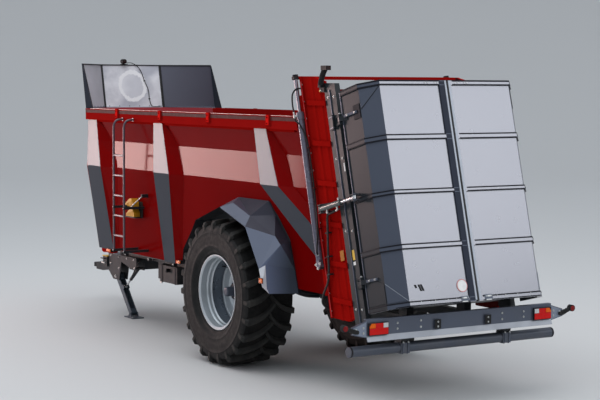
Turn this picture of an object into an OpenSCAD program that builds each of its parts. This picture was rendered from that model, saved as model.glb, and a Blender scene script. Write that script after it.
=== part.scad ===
// Towed farm spreader with one axle, a long high box, two upright beaters
// behind a lift gate, and a pair of closed faceted rear doors.
// Millimetres. X forward along travel, Y to the left, Z up, floor at Z = 0.
// X is first counted from the axle, then shifted so the overall box is centred.

/* [Overall] */
// Centre of the drawbar ring ahead of the axle
eye_x = 6800; // [6200:10:7300]
// Rearmost face of the closed doors at their foot, behind the axle
door_foot_x = 3700; // [3300:5:4000]
// Height of the door foot line above the floor
door_foot_z = 1238; // [1100:1:1400]
// Lean of the whole rear end, top forward
lean = 14.6; // [0:0.1:20]

/* [Wheels] */
// Outer radius of the tyre
tyre_r = 962; // [800:1:1000]
// Width across the tread
tyre_w = 726; // [500:5:800]
// Middle plane of each wheel from the centreline
wheel_y = 1105; // [950:5:1200]
// Radius of the rim flange
rim_r = 497; // [400:1:560]
// Height of the axle above the floor
axle_z = 962; // [800:1:1000]
// Radius of the stub that carries the hub
stub_r = 50; // [35:1:70]
// Running clearance of the hub on the stub
run_gap = 0.05; // [0.02:0.01:0.1]

/* [Box] */
// Underside of the floor plate
floor_z = 1120; // [1000:5:1300]
// Thickness of the floor plate
floor_t = 30; // [10:1:60]
// Front end of the side walls
box_front_x = 4600; // [4200:10:5000]
// Rear end of the side walls in the leaning frame
box_rear_u = 1500; // [1450:5:1600]
// Top of the side rails
rail_top_z = 3300; // [3000:5:3500]
// Height of the side rails
rail_h = 168; // [100:2:220]
// Outer face of the side rails
rail_y = 1186; // [1100:1:1250]
// Inside half width at the floor
box_in_y = 700; // [600:5:760]

/* [Front screen] */
// Top edge of the front screen
screen_top_z = 4000; // [3600:5:4200]
// Half width of the middle panel of the front screen
screen_mid_y = 530; // [400:5:700]
// Half of the width of the front screen
screen_end_y = 1140; // [900:1:1250]
// How far the screen bulges ahead of the side walls
screen_bulge = 710; // [400:10:900]

/* [Rear end] */
// Front face of the adapter side walls in the leaning frame
adapter_front_u = 1400; // [1300:5:1450]
// Border of the red side and the dark post
adapter_rear_u = 915; // [850:5:1000]
// Outer face of the adapter side walls
adapter_y = 1100; // [1050:1:1150]
// Top of the adapter
adapter_top_z = 3790; // [3600:5:3900]
// Door hinge axis along the lean frame
hinge_u = 600; // [560:1:660]
// Door hinge axis from the centreline
hinge_y = 1150; // [1120:1:1180]
// Beater axis along the lean frame
beater_u = 800; // [760:1:860]
// Beater axes from the centreline
beater_y = 500; // [450:1:560]
// Radius of the beater flights
beater_r = 470; // [400:1:490]

/* [Gate] */
// Middle of the gate plate in the leaning frame
gate_u = 1447; // [1430:1:1470]
// Gate cylinder axis from the centreline
gate_cyl_y = 1153; // [1120:1:1220]
// Gate lift
gate_lift = 1300; // [800:10:1400]

/* [Rear guard] */
// Rear face of the lamp bar behind the axle
lamp_bar_x = 3438; // [3300:1:3600]
// Half length of the lamp bar
lamp_bar_y = 1360; // [1200:5:1500]
// Half length of the under-run tube
tube_y = 1500; // [1300:5:1500]

/* [Parking jack] */
// Jack pivot ahead of the axle
jack_x = 4870; // [4500:10:5200]
// Jack pivot from the centreline
jack_y = 500; // [300:10:700]
// Jack pivot above the floor
jack_z = 610; // [560:5:700]
// Slant of the parked leg from the vertical, foot to the rear
jack_slant = 42; // [0:1:50]
// Tips of the rubber side markers from the centreline
marker_y = 1710; // [1560:5:1800]

/* [Hidden] */
$fn = 64;
e = 0.01;
rail_low_z = rail_top_z - rail_h;
floor_top = floor_z + floor_t;
sa = sin(lean);
ca = cos(lean);
red = [0.55, 0.06, 0.05];
grey = [0.62, 0.63, 0.66];
dark = [0.16, 0.17, 0.19];
steel = [0.75, 0.76, 0.78];
black = [0.06, 0.06, 0.07];
yellow = [0.85, 0.7, 0.1];

// from leaning frame (u forward, y, w up) to the machine
function tx(u, w) = -door_foot_x + u * ca + w * sa;
function tz(u, w) = door_foot_z - u * sa + w * ca;
function tw(u, z) = (z - door_foot_z + u * sa) / ca;

// the overall box, and the shift that centres it
rib_t = 14;
door_w0 = -45;
door_w1 = 2590;
rear_x = tx(-rib_t, door_w0);
front_x = eye_x + 70;
shift_x = -(rear_x + front_x) / 2;

module place() { translate([shift_x, 0, 0]) children(); }
module tilt() { translate([-door_foot_x, 0, door_foot_z]) rotate([0, lean, 0]) children(); }
module side(s) { if (s < 0) mirror([0, 1, 0]) children(); else children(); }
module blk(x0, x1, y0, y1, z0, z1) { translate([x0, y0, z0]) cube([x1 - x0, y1 - y0, z1 - z0]); }
module rod_x(x0, x1, y, z, r) { translate([x0, y, z]) rotate([0, 90, 0]) cylinder(h = x1 - x0, r = r); }
module rod_y(y0, y1, x, z, r) { translate([x, y1, z]) rotate([90, 0, 0]) cylinder(h = y1 - y0, r = r); }
module rod_z(z0, z1, x, y, r) { translate([x, y, z0]) cylinder(h = z1 - z0, r = r); }
// prism along Y of an outline in X, Z
module prism_y(pts, y0, y1) { translate([0, y1, 0]) rotate([90, 0, 0]) linear_extrude(y1 - y0) polygon(pts); }
// prism along X of an outline in Y, Z
module prism_x(pts, x0, x1) { translate([x0, 0, 0]) rotate([90, 0, 90]) linear_extrude(x1 - x0) polygon(pts); }
// flat-sided loft between stacked rings of points, bottom to top
module loft(rings) {
  n = len(rings[0]);
  m = len(rings);
  pts = [for (r = rings) for (p = r) p];
  sides = [for (k = [0 : m - 2]) for (i = [0 : n - 1]) let (j = (i + 1) % n)
    for (f = [[k * n + i, (k + 1) * n + i, k * n + j], [k * n + j, (k + 1) * n + i, (k + 1) * n + j]]) f];
  half = n / 2;
  bottom = [for (i = [0 : half - 2]) for (f = [[i, i + 1, n - 2 - i], [i, n - 2 - i, n - 1 - i]]) f];
  top = [for (i = [0 : half - 2]) for (f = [[i, n - 2 - i, i + 1], [i, n - 1 - i, n - 2 - i]]) [for (q = f) q + (m - 1) * n]];
  polyhedron(pts, concat(sides, bottom, top));
}

// ---- running gear -------------------------------------------------------
line_z = 1070;
rail_in = 380;
rail_out = 480;
chassis_front_x = 4900;
chassis_rear_x = -2060;
module chassis() color(dark) place() difference() {
  union() {
    for (s = [-1, 1]) side(s) {
      blk(chassis_rear_x, chassis_front_x, rail_in, rail_out, 965, floor_z);
      // outriggers to the side skins
      for (x = [-1500, 1900, 3300, 4400]) blk(x, x + 60, rail_out, 690, 1020, floor_z);
    }
    for (x = [-1960, -700, 1200, 2600, 3900]) blk(x, x + 90, -rail_in, rail_in, 985, floor_z);
    blk(4780, chassis_front_x, -rail_in, rail_in, 900, floor_z);
    // tie-down post under the left rail
    blk(3400, 3560, 400, 470, 710, 970);
  }
  // saddle over the axle
  blk(-75, 75, -600, 600, 880, axle_z + 75);
  // way for the driveline
  rod_x(-2200, 5000, 0, line_z, 32);
}

module drawbar() color(dark) place() union() {
  blk(4600, 4779, -rail_in + 5, rail_in - 5, 720, 964);
  prism_y([[4779, 740], [4779, 900], [5600, 800], [6450, 640], [6640, 640], [6640, 520], [6400, 520], [5600, 640]], -95, 95);
  for (s = [-1, 1]) side(s) prism_z([[4779, 250], [4779, 360], [5900, 95], [5560, 95]], 745, 880);
}
module prism_z(pts, z0, z1) { translate([0, 0, z0]) linear_extrude(z1 - z0) polygon(pts); }

module drawbar_ring() color(dark) place() difference() {
  union() {
    rod_z(545, 615, eye_x, 0, 70);
    blk(6640, eye_x - 30, -45, 45, 545, 615);
    blk(6640, 6668, -95, 95, 520, 640);
  }
  rod_z(500, 700, eye_x, 0, 25.5);
}

module axle_beam() color(dark) place() union() {
  blk(-75, 75, -620, 620, axle_z - 75, axle_z + 75);
  for (s = [-1, 1]) side(s) {
    rod_y(620, 660, 0, axle_z, 95);
    rod_y(660, 1110, 0, axle_z, stub_r);
  }
}

// one hub with a deep dish and a stepped rim
module rim() color(steel) difference() {
  rotate([-90, 0, 0]) translate([0, 0, wheel_y]) union() {
    // outline in radius and distance from the middle plane of the wheel
    rotate_extrude($fn = 96) polygon([
      [rim_r, 300], [rim_r, 288], [rim_r - 25, 277], [rim_r - 29, 223], [rim_r - 29, 150], [440, 126], [440, 101],
      [rim_r - 29, 81], [rim_r - 29, 35], [455, -5], [455, -275], [rim_r - 29, -315], [rim_r - 25, -345], [rim_r, -358], [rim_r, -370],
      [rim_r - 12, -370], [460, -347], [443, -285], [443, -65], [300, -65], [240, -110], [150, -110], [150, -85],
      [240, -85], [292, -45], [443, -33], [428, 95], [428, 130], [442, 148], [442, 184], [456, 202], [460, 285], [rim_r - 12, 300]]);
    rotate_extrude() polygon([[0, -180], [150, -180], [150, -110], [150, -85], [118, -85], [118, 25], [96, 45], [62, 47], [62, 152], [52, 163], [0, 163]]);
  }
  rod_y(900, 1125, 0, 0, stub_r + run_gap);
}
module rim_left() place() translate([0, 0, axle_z]) rim();
module rim_right() place() translate([0, 0, axle_z]) mirror([0, 1, 0]) rim();

tyre_hw = tyre_w / 2;
// half outline of the tread and sidewall, bead to middle of the tread
tyre_side = [[rim_r + 1, tyre_hw - 80], [530, tyre_hw - 40], [580, tyre_hw - 12], [700, tyre_hw], [800, tyre_hw - 2], [880, tyre_hw - 10],
  [930, tyre_hw - 20], [tyre_r - 16, tyre_hw - 26], [tyre_r, 200]];
module tyre() color(black) rotate([-90, 0, 0]) translate([0, 0, wheel_y]) rotate_extrude($fn = 96) polygon(concat(
  tyre_side, [for (i = [len(tyre_side) - 1 : -1 : 1]) [tyre_side[i][0], -tyre_side[i][1]]],
  // seat on the rim
  [[rim_r + 1, -348], [rim_r - 23.5, -335], [rim_r - 27.5, -313], [456.5, -273], [456.5, -7], [rim_r - 27.5, 33],
   [rim_r - 27.5, 83], [441.5, 102], [441.5, 125], [rim_r - 27.5, 149], [rim_r - 27.5, 221], [rim_r - 23.5, 275]]));
module tyre_left() place() translate([0, 0, axle_z]) tyre();
module tyre_right() place() translate([0, 0, axle_z]) mirror([0, 1, 0]) tyre();

// faceted mudguard over the rear half of the wheel: outer skin corners
fa = [-77, 1400, 2092];
fk = [-197, 1270, 2151];
fb = [21, 1060, 2205];
fl = [-641, 1270, 2012];
fc = [-754, 1060, 2205];
fe = [-740, 1400, 1889];
fd = [-889, 1042, 2033];
fg = [-1130, 1190, 1790];
fj = [-1180, 1007, 1718];
fh = [-1270, 1190, 1690];
fi = [-1090, 1400, 1384];
fm = [-1140, 1335, 1430];
fo = [-1242, 969, 1375];
fq = [-1172, 1400, 1164];
fn_ = [-1180, 1335, 1139];
fr = [-1200, 1312, 1075];
fp = [-1286, 934, 1064];
module guard_skin(outer, tris) {
  // the same corners pulled towards the wheel close the sheet
  n = len(outer);
  inner = [for (p = outer) [p[0] * 0.985, p[1] - 12, axle_z + (p[2] - axle_z) * 0.985]];
  edges = [for (t = tris) for (k = [0 : 2]) [t[k], t[(k + 1) % 3]]];
  rim_e = [for (q = edges) if (len([for (z = edges) if (z[0] == q[1] && z[1] == q[0]) 1]) == 0) q];
  polyhedron(concat(outer, inner), concat(
    tris,
    [for (t = tris) [t[2] + n, t[1] + n, t[0] + n]],
    [for (q = rim_e) [q[1], q[0], q[0] + n]],
    [for (q = rim_e) [q[1], q[0] + n, q[1] + n]]));
}
module fender() color(grey) guard_skin(
  // 0 a, 1 k, 2 b, 3 l, 4 c, 5 e, 6 d, 7 g, 8 j, 9 h, 10 i, 11 m, 12 o, 13 q, 14 n, 15 r, 16 p
  [fa, fk, fb, fl, fc, fe, fd, fg, fj, fh, fi, fm, fo, fq, fn_, fr, fp],
  [[0, 1, 2], [0, 5, 1], [1, 5, 3], [1, 3, 2], [2, 3, 4], [3, 6, 4], [3, 5, 7], [3, 7, 6],
   [6, 7, 8], [7, 9, 8], [5, 10, 7], [7, 10, 9], [9, 10, 11], [9, 11, 12], [8, 9, 12],
   [10, 13, 11], [11, 13, 14], [13, 15, 14], [11, 14, 12], [12, 14, 16], [14, 15, 16]]);
module fender_left() place() fender();
module fender_right() place() mirror([0, 1, 0]) fender();

// ---- box ----------------------------------------------------------------
// outline of one side wall: outer skin going up, then the inside going down
skin = [[925, floor_z], [1070, 2420], [1055, 2815], [1125, rail_low_z]];
inside = [[1085, rail_low_z], [1015, 2815], [1020, 2540], [box_in_y, 2130], [box_in_y, floor_z]];
// wheel arch outline in X, Z
arch = [[1900, floor_z - 20], [1813, 1345], [1468, 1667], [1349, 1797], [602, 2035], [-60, 2150], [-780, 2150],
  [-930, 2030], [-1180, 1740], [-1240, 1370], [-1225, floor_z - 20]];
module behind_box() tilt() translate([box_rear_u - 3000, -2000, -2000]) cube([3000, 4000, 7000]);
module side_wall() color(red) difference() {
  prism_x(concat(skin, inside), -2400, box_front_x);
  prism_y(arch, 725, 1400);
  behind_box();
}
module side_wall_left() place() side_wall();
module side_wall_right() place() mirror([0, 1, 0]) side_wall();

// box-section pillars on the side sheet, each with a flat outer face and two
// sloped flanks. Columns: height, front foot, front edge, rear edge, rear foot
pillar_front = [[floor_z, 4600, 4600, 4060, 3920], [2420, 4600, 4600, 4110, 3640], [2815, 4600, 4600, 4207, 3880], [rail_low_z, 4600, 4600, 4285, 4200]];
pillar_mid = [[floor_z, 2440, 2340, 1990, 1850], [2420, 2420, 2300, 1810, 1500], [2815, 2420, 2322, 1946, 1702], [rail_low_z, 2400, 2340, 2055, 1980]];
pillar_rear = [[1300, -2200, -2300, -2992, -3100], [1790, -1490, -1600, -2203, -2420], [2420, -630, -740, -1190, -1440],
  [2815, -540, -629, -1001, -1186], [rail_low_z, -480, -540, -850, -930]];
function face_y(z) = z < 2420 ? 982 + 198 * (z - floor_z) / (2420 - floor_z) : 1180 - 20 * (z - 2420) / (rail_low_z - 2420);
function foot_y(z) = z < 2420 ? 895 + 145 * (z - floor_z) / (2420 - floor_z) : z < 2815 ? 1040 - 15 * (z - 2420) / 395 : 1025 + 70 * (z - 2815) / (rail_low_z - 2815);
module pillar(rows) loft([for (r = rows) [[r[4], foot_y(r[0]), r[0]], [r[1], foot_y(r[0]), r[0]], [r[2], face_y(r[0]), r[0]], [r[3], face_y(r[0]), r[0]]]]);
module side_pillars() color(red) difference() {
  union() {
    for (p = [pillar_front, pillar_mid, pillar_rear]) pillar(p);
    // lip under the rail that ties the pillars together
    blk(-1500, 4600, 1095, 1142, rail_low_z - 30, rail_low_z);
  }
  prism_x(concat(skin, [[600, rail_low_z + 1], [600, floor_z - 1], [925, floor_z - 1]]), -3500, 5000);
  translate([0, 0, rail_low_z]) blk(-3500, 5000, 500, 1300, 0, 50);
  prism_y(arch, 725, 1400);
  behind_box();
}
module side_pillars_left() place() side_pillars();
module side_pillars_right() place() mirror([0, 1, 0]) side_pillars();

module top_rail() color(red) difference() {
  union() {
    blk(-1800, box_front_x + 40, 1062, rail_y, rail_low_z, rail_top_z - 12);
    blk(-1800, box_front_x + 40, 1062, rail_y + 6, rail_top_z - 12, rail_top_z);
    // stake pockets standing on the rail
    for (x = [3480, 2060, 620, -960]) prism_x([[rail_y, rail_low_z + 30], [rail_y + 22, rail_low_z + 40], [rail_y + 22, rail_top_z + 10], [rail_y, rail_top_z + 10]], x - 45, x + 45);
  }
  behind_box();
}
module top_rail_left() place() top_rail();
module top_rail_right() place() mirror([0, 1, 0]) top_rail();

module box_floor() color(dark) place() difference() {
  union() {
    blk(-2400, box_front_x, -box_in_y, box_in_y, floor_z, floor_top);
    prism_z([[box_front_x, -950], [box_front_x, 950], [box_front_x + 42, 950], [box_front_x + 502, 478], [box_front_x + 502, -478], [box_front_x + 42, -950]], floor_z, floor_top);
  }
  behind_box();
}

// chain floor: two chains and a row of slats lying on the plate
slat_gap = 350; 
module floor_chain() color(steel) place() union() {
  for (s = [-1, 1]) side(s) blk(-2080, 4500, 470, 500, floor_top, floor_top + 18);
  for (x = [-2060 : slat_gap : 4480]) blk(x, x + 50, -640, 640, floor_top, floor_top + 30);
}

// front wall and screen: three facets bulging forward
function bay(x, y_end, y_mid, bulge, z) = [[x, y_end, z], [x + bulge, y_mid, z], [x + bulge, -y_mid, z], [x, -y_end, z],
  [x + 42, -y_end, z], [x + bulge + 42, -y_mid - 8, z], [x + bulge + 42, y_mid + 8, z], [x + 42, y_end, z]];
module front_wall() color(red) place() loft([
  bay(box_front_x, 955, 470, 460, floor_top), bay(box_front_x, 1170, 515, 600, 2420), bay(box_front_x, 1060, 520, 660, rail_low_z),
  bay(box_front_x + 40, 1060, screen_mid_y, screen_bulge - 40, rail_top_z)]);
// the outer facets end inside the rails; cut_x is how far forward that brings their ends
cut_x = screen_bulge * (rail_y - screen_end_y) / (rail_y - screen_mid_y);
module front_screen() color(grey) place() union() {
  loft([bay(box_front_x + 40 + cut_x, screen_end_y, screen_mid_y, screen_bulge - cut_x, rail_top_z), bay(box_front_x + 196 + cut_x, screen_end_y, screen_mid_y, screen_bulge - cut_x, screen_top_z)]);
  // three-cornered end plates that stand on the rails
  for (s = [-1, 1]) side(s) prism_y([[box_front_x - 130, rail_top_z], [box_front_x + 70 + cut_x, rail_top_z], [box_front_x + 200 + cut_x, screen_top_z - 20], [box_front_x + 186 + cut_x, screen_top_z - 20]], screen_end_y - 6, screen_end_y);
}
module screen_lamp() color(black) place() union() {
  rod_x(5470, 5560, 120, 4050, 38);
  blk(5507, 5547, 105, 135, 4000, 4030);
}

ladder_y = 1335;
module ladder() color(dark) place() union() {
  for (x = [2950, 3300]) {
    rod_z(1190, 3060, x, ladder_y, 18);
    translate([x, 0, 3060]) prism_x([[ladder_y + 18, -2], [ladder_y - 18, -2], [rail_y, 98], [rail_y, 120], [ladder_y - 30, 100], [ladder_y + 18, 40]], -18, 18);
    blk(x - 15, x + 15, 1012, ladder_y, 1840, 1880);
    blk(x - 15, x + 15, 948, ladder_y, 1260, 1300);
  }
  for (z = [1440 : 298 : 2700]) rod_x(2950, 3300, ladder_y, z, 14);
}

// ---- lift gate ----------------------------------------------------------
gate_top_w = 2850;
cross_w = 2980;
module lift_gate() color(red) place() tilt() union() {
  translate([gate_u - 15, -1045, 300]) cube([30, 2090, gate_top_w - 300]);
  // uprights and the slim cross bar that the two rods push up
  for (s = [-1, 1]) side(s) translate([gate_u - 22, 975, gate_top_w - 60]) cube([44, 70, cross_w - gate_top_w + 61]);
  translate([gate_u - 25, -gate_cyl_y - 36, cross_w]) cube([50, 2 * gate_cyl_y + 72, 30]);
  for (s = [-1, 1]) translate([gate_u, s * gate_cyl_y, 1150]) cylinder(h = cross_w - 1149, r = 22.5);
  for (s = [-1, 1]) translate([gate_u, s * gate_cyl_y, cross_w + 29]) cylinder(h = 22, r = 36);
}
module gate_barrel() color(steel) tilt() union() {
  difference() {
    union() {
      translate([gate_u, gate_cyl_y, 730]) cylinder(h = 1830, r = 40);
      translate([gate_u, gate_cyl_y, 2470]) cylinder(h = 90, r = 47);
    }
    translate([gate_u, gate_cyl_y, 1060]) cylinder(h = 1600, r = 22.6);
  }
  translate([gate_u - 30, gate_cyl_y - 30, 660]) cube([60, 60, 75]);
  // foot that bolts to the guide beside the gate
  translate([gate_u - 40, adapter_y + 0.2, 640]) cube([80, gate_cyl_y + 30 - adapter_y - 0.2, 40]);
}
module gate_barrel_left() place() gate_barrel();
module gate_barrel_right() place() mirror([0, 1, 0]) gate_barrel();

// ---- adapter ------------------------------------------------------------
module level_slab(z0, z1) translate([-6000, -2500, z0]) cube([12000, 5000, z1 - z0]);
rib_z = [3470, 2985, 2510, 2030, 1565, 1130];
rib_half = 31;
fold_u = [1030, 1190];
module fold(u, gap = 0) translate([0, 0, -700]) linear_extrude(4200)
  polygon([[u - 45 - gap, adapter_y - 1], [u - 25 - gap, adapter_y + 12 + gap], [u + 25 + gap, adapter_y + 12 + gap], [u + 45 + gap, adapter_y - 1]]);
module adapter_wall() color(red) union() {
  adapter_sheet();
  // level ribs pressed outward, tapered at their front ends
  intersection() {
    tilt() translate([0, 0, -700]) linear_extrude(4200)
      polygon([[adapter_rear_u, adapter_y - 1], [adapter_rear_u, adapter_y + 26], [adapter_front_u - 110, adapter_y + 26], [adapter_front_u - 30, adapter_y - 1]]);
    union() for (z = rib_z) level_slab(z - rib_half, z + rib_half);
  }
}
module adapter_sheet() intersection() {
  tilt() union() {
    translate([adapter_rear_u, adapter_y - 40, -700]) cube([adapter_front_u - adapter_rear_u, 40, 4200]);
    translate([adapter_front_u - 20, adapter_y - 40, -700]) cube([20, 70, 4200]);
    // two upright folds in the sheet
    for (u = fold_u) fold(u);
    // guide that joins the adapter to the box beside the gate
    translate([adapter_front_u - 1, adapter_y - 40, 300]) cube([box_rear_u - adapter_front_u + 1, 40, 2480]);
  }
  prism_y([[-3300, 1180], [-2700, 905], [-2250, 905], [-1000, 905], [-1000, adapter_top_z], [-1870, adapter_top_z], [-2190, adapter_top_z - 80], [-3300, adapter_top_z - 80]], 0, 2000);
}
module adapter_wall_left() place() adapter_wall();
module adapter_wall_right() place() mirror([0, 1, 0]) adapter_wall();

knuckle_w = [330, 2270];
module rear_post() color(dark) difference() {
  union() {
    intersection() {
      tilt() translate([680, adapter_y - 60, -700]) cube([adapter_rear_u - 680, 70, 4200]);
      level_slab(870, adapter_top_z - 80);
    }
    tilt() for (w = knuckle_w) {
      for (k = [-62, 32]) translate([0, 0, w + k]) linear_extrude(30) difference() {
        polygon([[700, adapter_y + 10], [760, adapter_y + 10], [hinge_u + 14, hinge_y + 28], [hinge_u - 20, hinge_y + 28], [hinge_u - 28, hinge_y - 10], [hinge_u, hinge_y - 28], [700, hinge_y - 60]]);
        translate([hinge_u, hinge_y]) circle(r = 16);
      }
      translate([hinge_u, hinge_y, w - 62]) cylinder(h = 124, r = 16);
    }
    // bracket for the door ram
    tilt() for (k = [-54, 40]) translate([1120, adapter_y, ram_w + k]) linear_extrude(14) polygon([[-205, 0], [10, 0], [95, 70], [95, 130], [35, 130], [-60, 30], [-205, 10]]);
    tilt() translate([ram_pin[0], ram_pin[1], ram_w - 54]) cylinder(h = 108, r = 15);
  }
  tilt() for (u = fold_u) fold(u, 0.3);
}
module rear_post_left() place() rear_post();
module rear_post_right() place() mirror([0, 1, 0]) rear_post();

module top_beam() color(red) place() intersection() {
  tilt() translate([1134, -adapter_y + 40.5, 2300]) cube([246, 2 * adapter_y - 81, 900]);
  level_slab(adapter_top_z - 40, adapter_top_z);
}
bearing_w = 2345;
module beater_bearing_beam() color(dark) place() tilt() difference() {
  translate([700, -1039.5, bearing_w]) cube([214, 2079, 120]);
  for (s = [-1, 1]) translate([beater_u, s * beater_y, bearing_w - 10]) cylinder(h = 200, r = 30.05);
}
pan_w = 150;
module beater_pan() color(dark) place() tilt() difference() {
  translate([0, 0, pan_w]) linear_extrude(16) polygon([[90, -920], [230, -1045], [670, -1052], [670, -1030], [925, -1030], [925, -1059.5], [1390, -1059.5],
    [1390, 1059.5], [925, 1059.5], [925, 1030], [670, 1030], [670, 1052], [230, 1045], [90, 920]]);
  for (s = [-1, 1]) translate([beater_u, s * beater_y, 0]) cylinder(h = 400, r = 60);
}
module beater_gearbox() color(dark) place() union() {
  for (s = [-1, 1]) side(s) blk(-2990, -2830, rail_in, rail_out, 965, 1070);
  tilt() difference() {
    union() {
      translate([690, -1039.5, 10]) cube([220, 2079, 140]);
      for (s = [-1, 1]) translate([beater_u, s * beater_y, 40]) cylinder(h = 110, r = 150);
    }
    for (s = [-1, 1]) translate([beater_u, s * beater_y, 60]) cylinder(h = 200, r = 35.05);
  }
}

// one upright beater: pipe, one-start flight, foot disc with paddles
pitch = 620;
flight_w0 = 215;
flight_h = 2090;
module beater(hand) color(steel) union() {
  translate([0, 0, 62]) cylinder(h = 140, r = 35);
  translate([0, 0, 190]) cylinder(h = 2130, r = 78);
  translate([0, 0, 2300]) cylinder(h = 150, r = 30);
  translate([0, 0, 190]) cylinder(h = 12, r = beater_r + 8);
  translate([0, 0, flight_w0]) linear_extrude(height = flight_h, twist = -hand * 360 * flight_h / pitch, slices = 52, segments = 4, convexity = 8)
    polygon([[60, 0], [beater_r, 0], [beater_r * cos(8), beater_r * sin(8)], [60 * cos(8), 60 * sin(8)]]);
  for (a = [0 : 60 : 300]) rotate([0, 0, a]) translate([200, -6, 200]) cube([beater_r - 200, 12, 90]);
}
module beater_left() place() tilt() translate([beater_u, beater_y, 0]) beater(1);
module beater_right() place() tilt() translate([beater_u, -beater_y, 0]) beater(-1);

// ---- doors --------------------------------------------------------------
ram_w = 1310;
door_t = 40;
// outline of the left door seen along the lean: outer skin, then inner skin
door_skin = [[0, 6], [0, 950], [190, 1122], [560, 1136]];
door_inner = [[560, 1096], [207, 1082], [door_t, 932], [door_t, 6]];
rib_skin = [[-rib_t, 20], [-rib_t, 956], [184, 1136], [530, 1149]];
// rib bands: lower edge above the door foot line, width
door_ribs = [[-45, 60], [611, 62], [1252, 52], [1886, 64], [2534, 56]];
module door() color(grey) union() {
  tilt() {
    translate([0, 0, door_w0]) linear_extrude(door_w1 - door_w0) polygon(concat(door_skin, door_inner));
    for (r = door_ribs) translate([0, 0, r[0]]) linear_extrude(r[1]) polygon(concat(rib_skin, [[530, 1134], [191, 1121], [1, 949], [1, 20]]));
    // hinge eyes
    for (w = knuckle_w) translate([0, 0, w - 28]) linear_extrude(56) difference() {
      polygon([[480, 1122], [480, 1150], [hinge_u - 20, hinge_y + 30], [hinge_u + 18, hinge_y + 24], [hinge_u + 26, hinge_y - 14], [hinge_u + 4, hinge_y - 28], [552, 1096], [540, 1110]]);
      translate([hinge_u, hinge_y]) circle(r = 16.06);
    }
    // fork for the ram eye
    for (k = [-40, 26]) translate([0, 0, ram_w + k]) linear_extrude(14) polygon([[410, 1128], [400, 1210], [420, 1236], [478, 1236], [498, 1210], [500, 1128]]);
  }
}
module door_left() place() door();
module door_right() place() mirror([0, 1, 0]) door();

// door ram: barrel pinned on the post, rod eye between the fork plates
ram_pin = [1183, 1200];
ram_eye = [449, 1200];
module ram_barrel() color(dark) tilt() difference() {
  union() {
    translate([ram_pin[0], ram_pin[1], ram_w - 28]) cylinder(h = 56, r = 34);
    translate([ram_pin[0] - 25, ram_pin[1], ram_w]) rotate([0, -90, 0]) cylinder(h = 415, r = 36);
  }
  translate([ram_pin[0], ram_pin[1], ram_w - 100]) cylinder(h = 200, r = 15.06);
  translate([ram_pin[0] - 60, ram_pin[1], ram_w]) rotate([0, -90, 0]) cylinder(h = 500, r = 18.06);
}
module ram_rod() color(steel) tilt() union() {
  difference() {
    union() {
      translate([ram_eye[0], ram_eye[1], ram_w - 20]) cylinder(h = 40, r = 30);
      translate([ram_eye[0], ram_eye[1], ram_w]) rotate([0, 90, 0]) cylinder(h = 380, r = 18);
    }
  }
}
module ram_barrel_left() place() ram_barrel();
module ram_barrel_right() place() mirror([0, 1, 0]) ram_barrel();
module ram_rod_left() place() ram_rod();
module ram_rod_right() place() mirror([0, 1, 0]) ram_rod();

// ---- rear guard ---------------------------------------------------------
module rear_carrier() color(dark) place() union() {
  for (s = [-1, 1]) side(s) {
    blk(-3380, -1250, rail_in, rail_out, 845, 965);
    // drop arms to the tube
    prism_y([[-3360, 845], [-3200, 845], [-3225, 719], [-3340, 719]], 690, 810);
    blk(-3380, -3180, rail_out, 830, 844, 862);
  }
  blk(-3300, -3210, -rail_in, rail_in, 850, 950);
}
module lamp_bar() color(grey) place() union() {
  // folded rail: top flange, web and a lip that slopes out at the foot
  prism_y([[-3380.5, 1044], [-lamp_bar_x, 1044], [-lamp_bar_x, 856], [-lamp_bar_x - 30, 790], [-lamp_bar_x - 16, 790],
    [-lamp_bar_x + 12, 853], [-lamp_bar_x + 12, 1032], [-3380.5, 1032]], -lamp_bar_y, lamp_bar_y);
  for (s = [-1, 1]) side(s) {
    blk(-lamp_bar_x + 12, -3380.5, 380, 480, 862, 940);
    // tapered end plate
    prism_x([[lamp_bar_y - 20, 834], [lamp_bar_y - 20, 1022], [lamp_bar_y, 1022], [1545, 962], [1545, 876], [lamp_bar_y, 834]], -lamp_bar_x, -lamp_bar_x + 12);
    // lamp body
    blk(-lamp_bar_x - 24, -lamp_bar_x, 1075, 1338, 862, 1000);
    // rubber buffer
    blk(-lamp_bar_x - 22, -lamp_bar_x, 330, 410, 870, 975);
  }
}
// rubber arms at the ends of the lamp bar, each with a round lamp cap
module side_markers() color(black) place() union() {
  for (s = [-1, 1]) side(s) {
    prism_x([[1480, 890], [1480, 930], [1560, 950], [marker_y - 55, 985], [marker_y - 55, 945], [1570, 905], [1530, 890]], -lamp_bar_x - 30, -lamp_bar_x - 0.2);
    translate([-lamp_bar_x - 45, marker_y - 40, 967]) rotate([0, 90, 0]) cylinder(h = 60, r = 40);
  }
}
module underrun_tube() color(grey) place() union() {
  rod_y(-tube_y, tube_y, -3282, 657, 62);
  for (s = [-1, 1]) side(s) difference() { 
    blk(-3350, -3214, 690, 810, 595, 719);
    rod_y(600, 900, -3282, 657, 61.9);
  }
}

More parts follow.
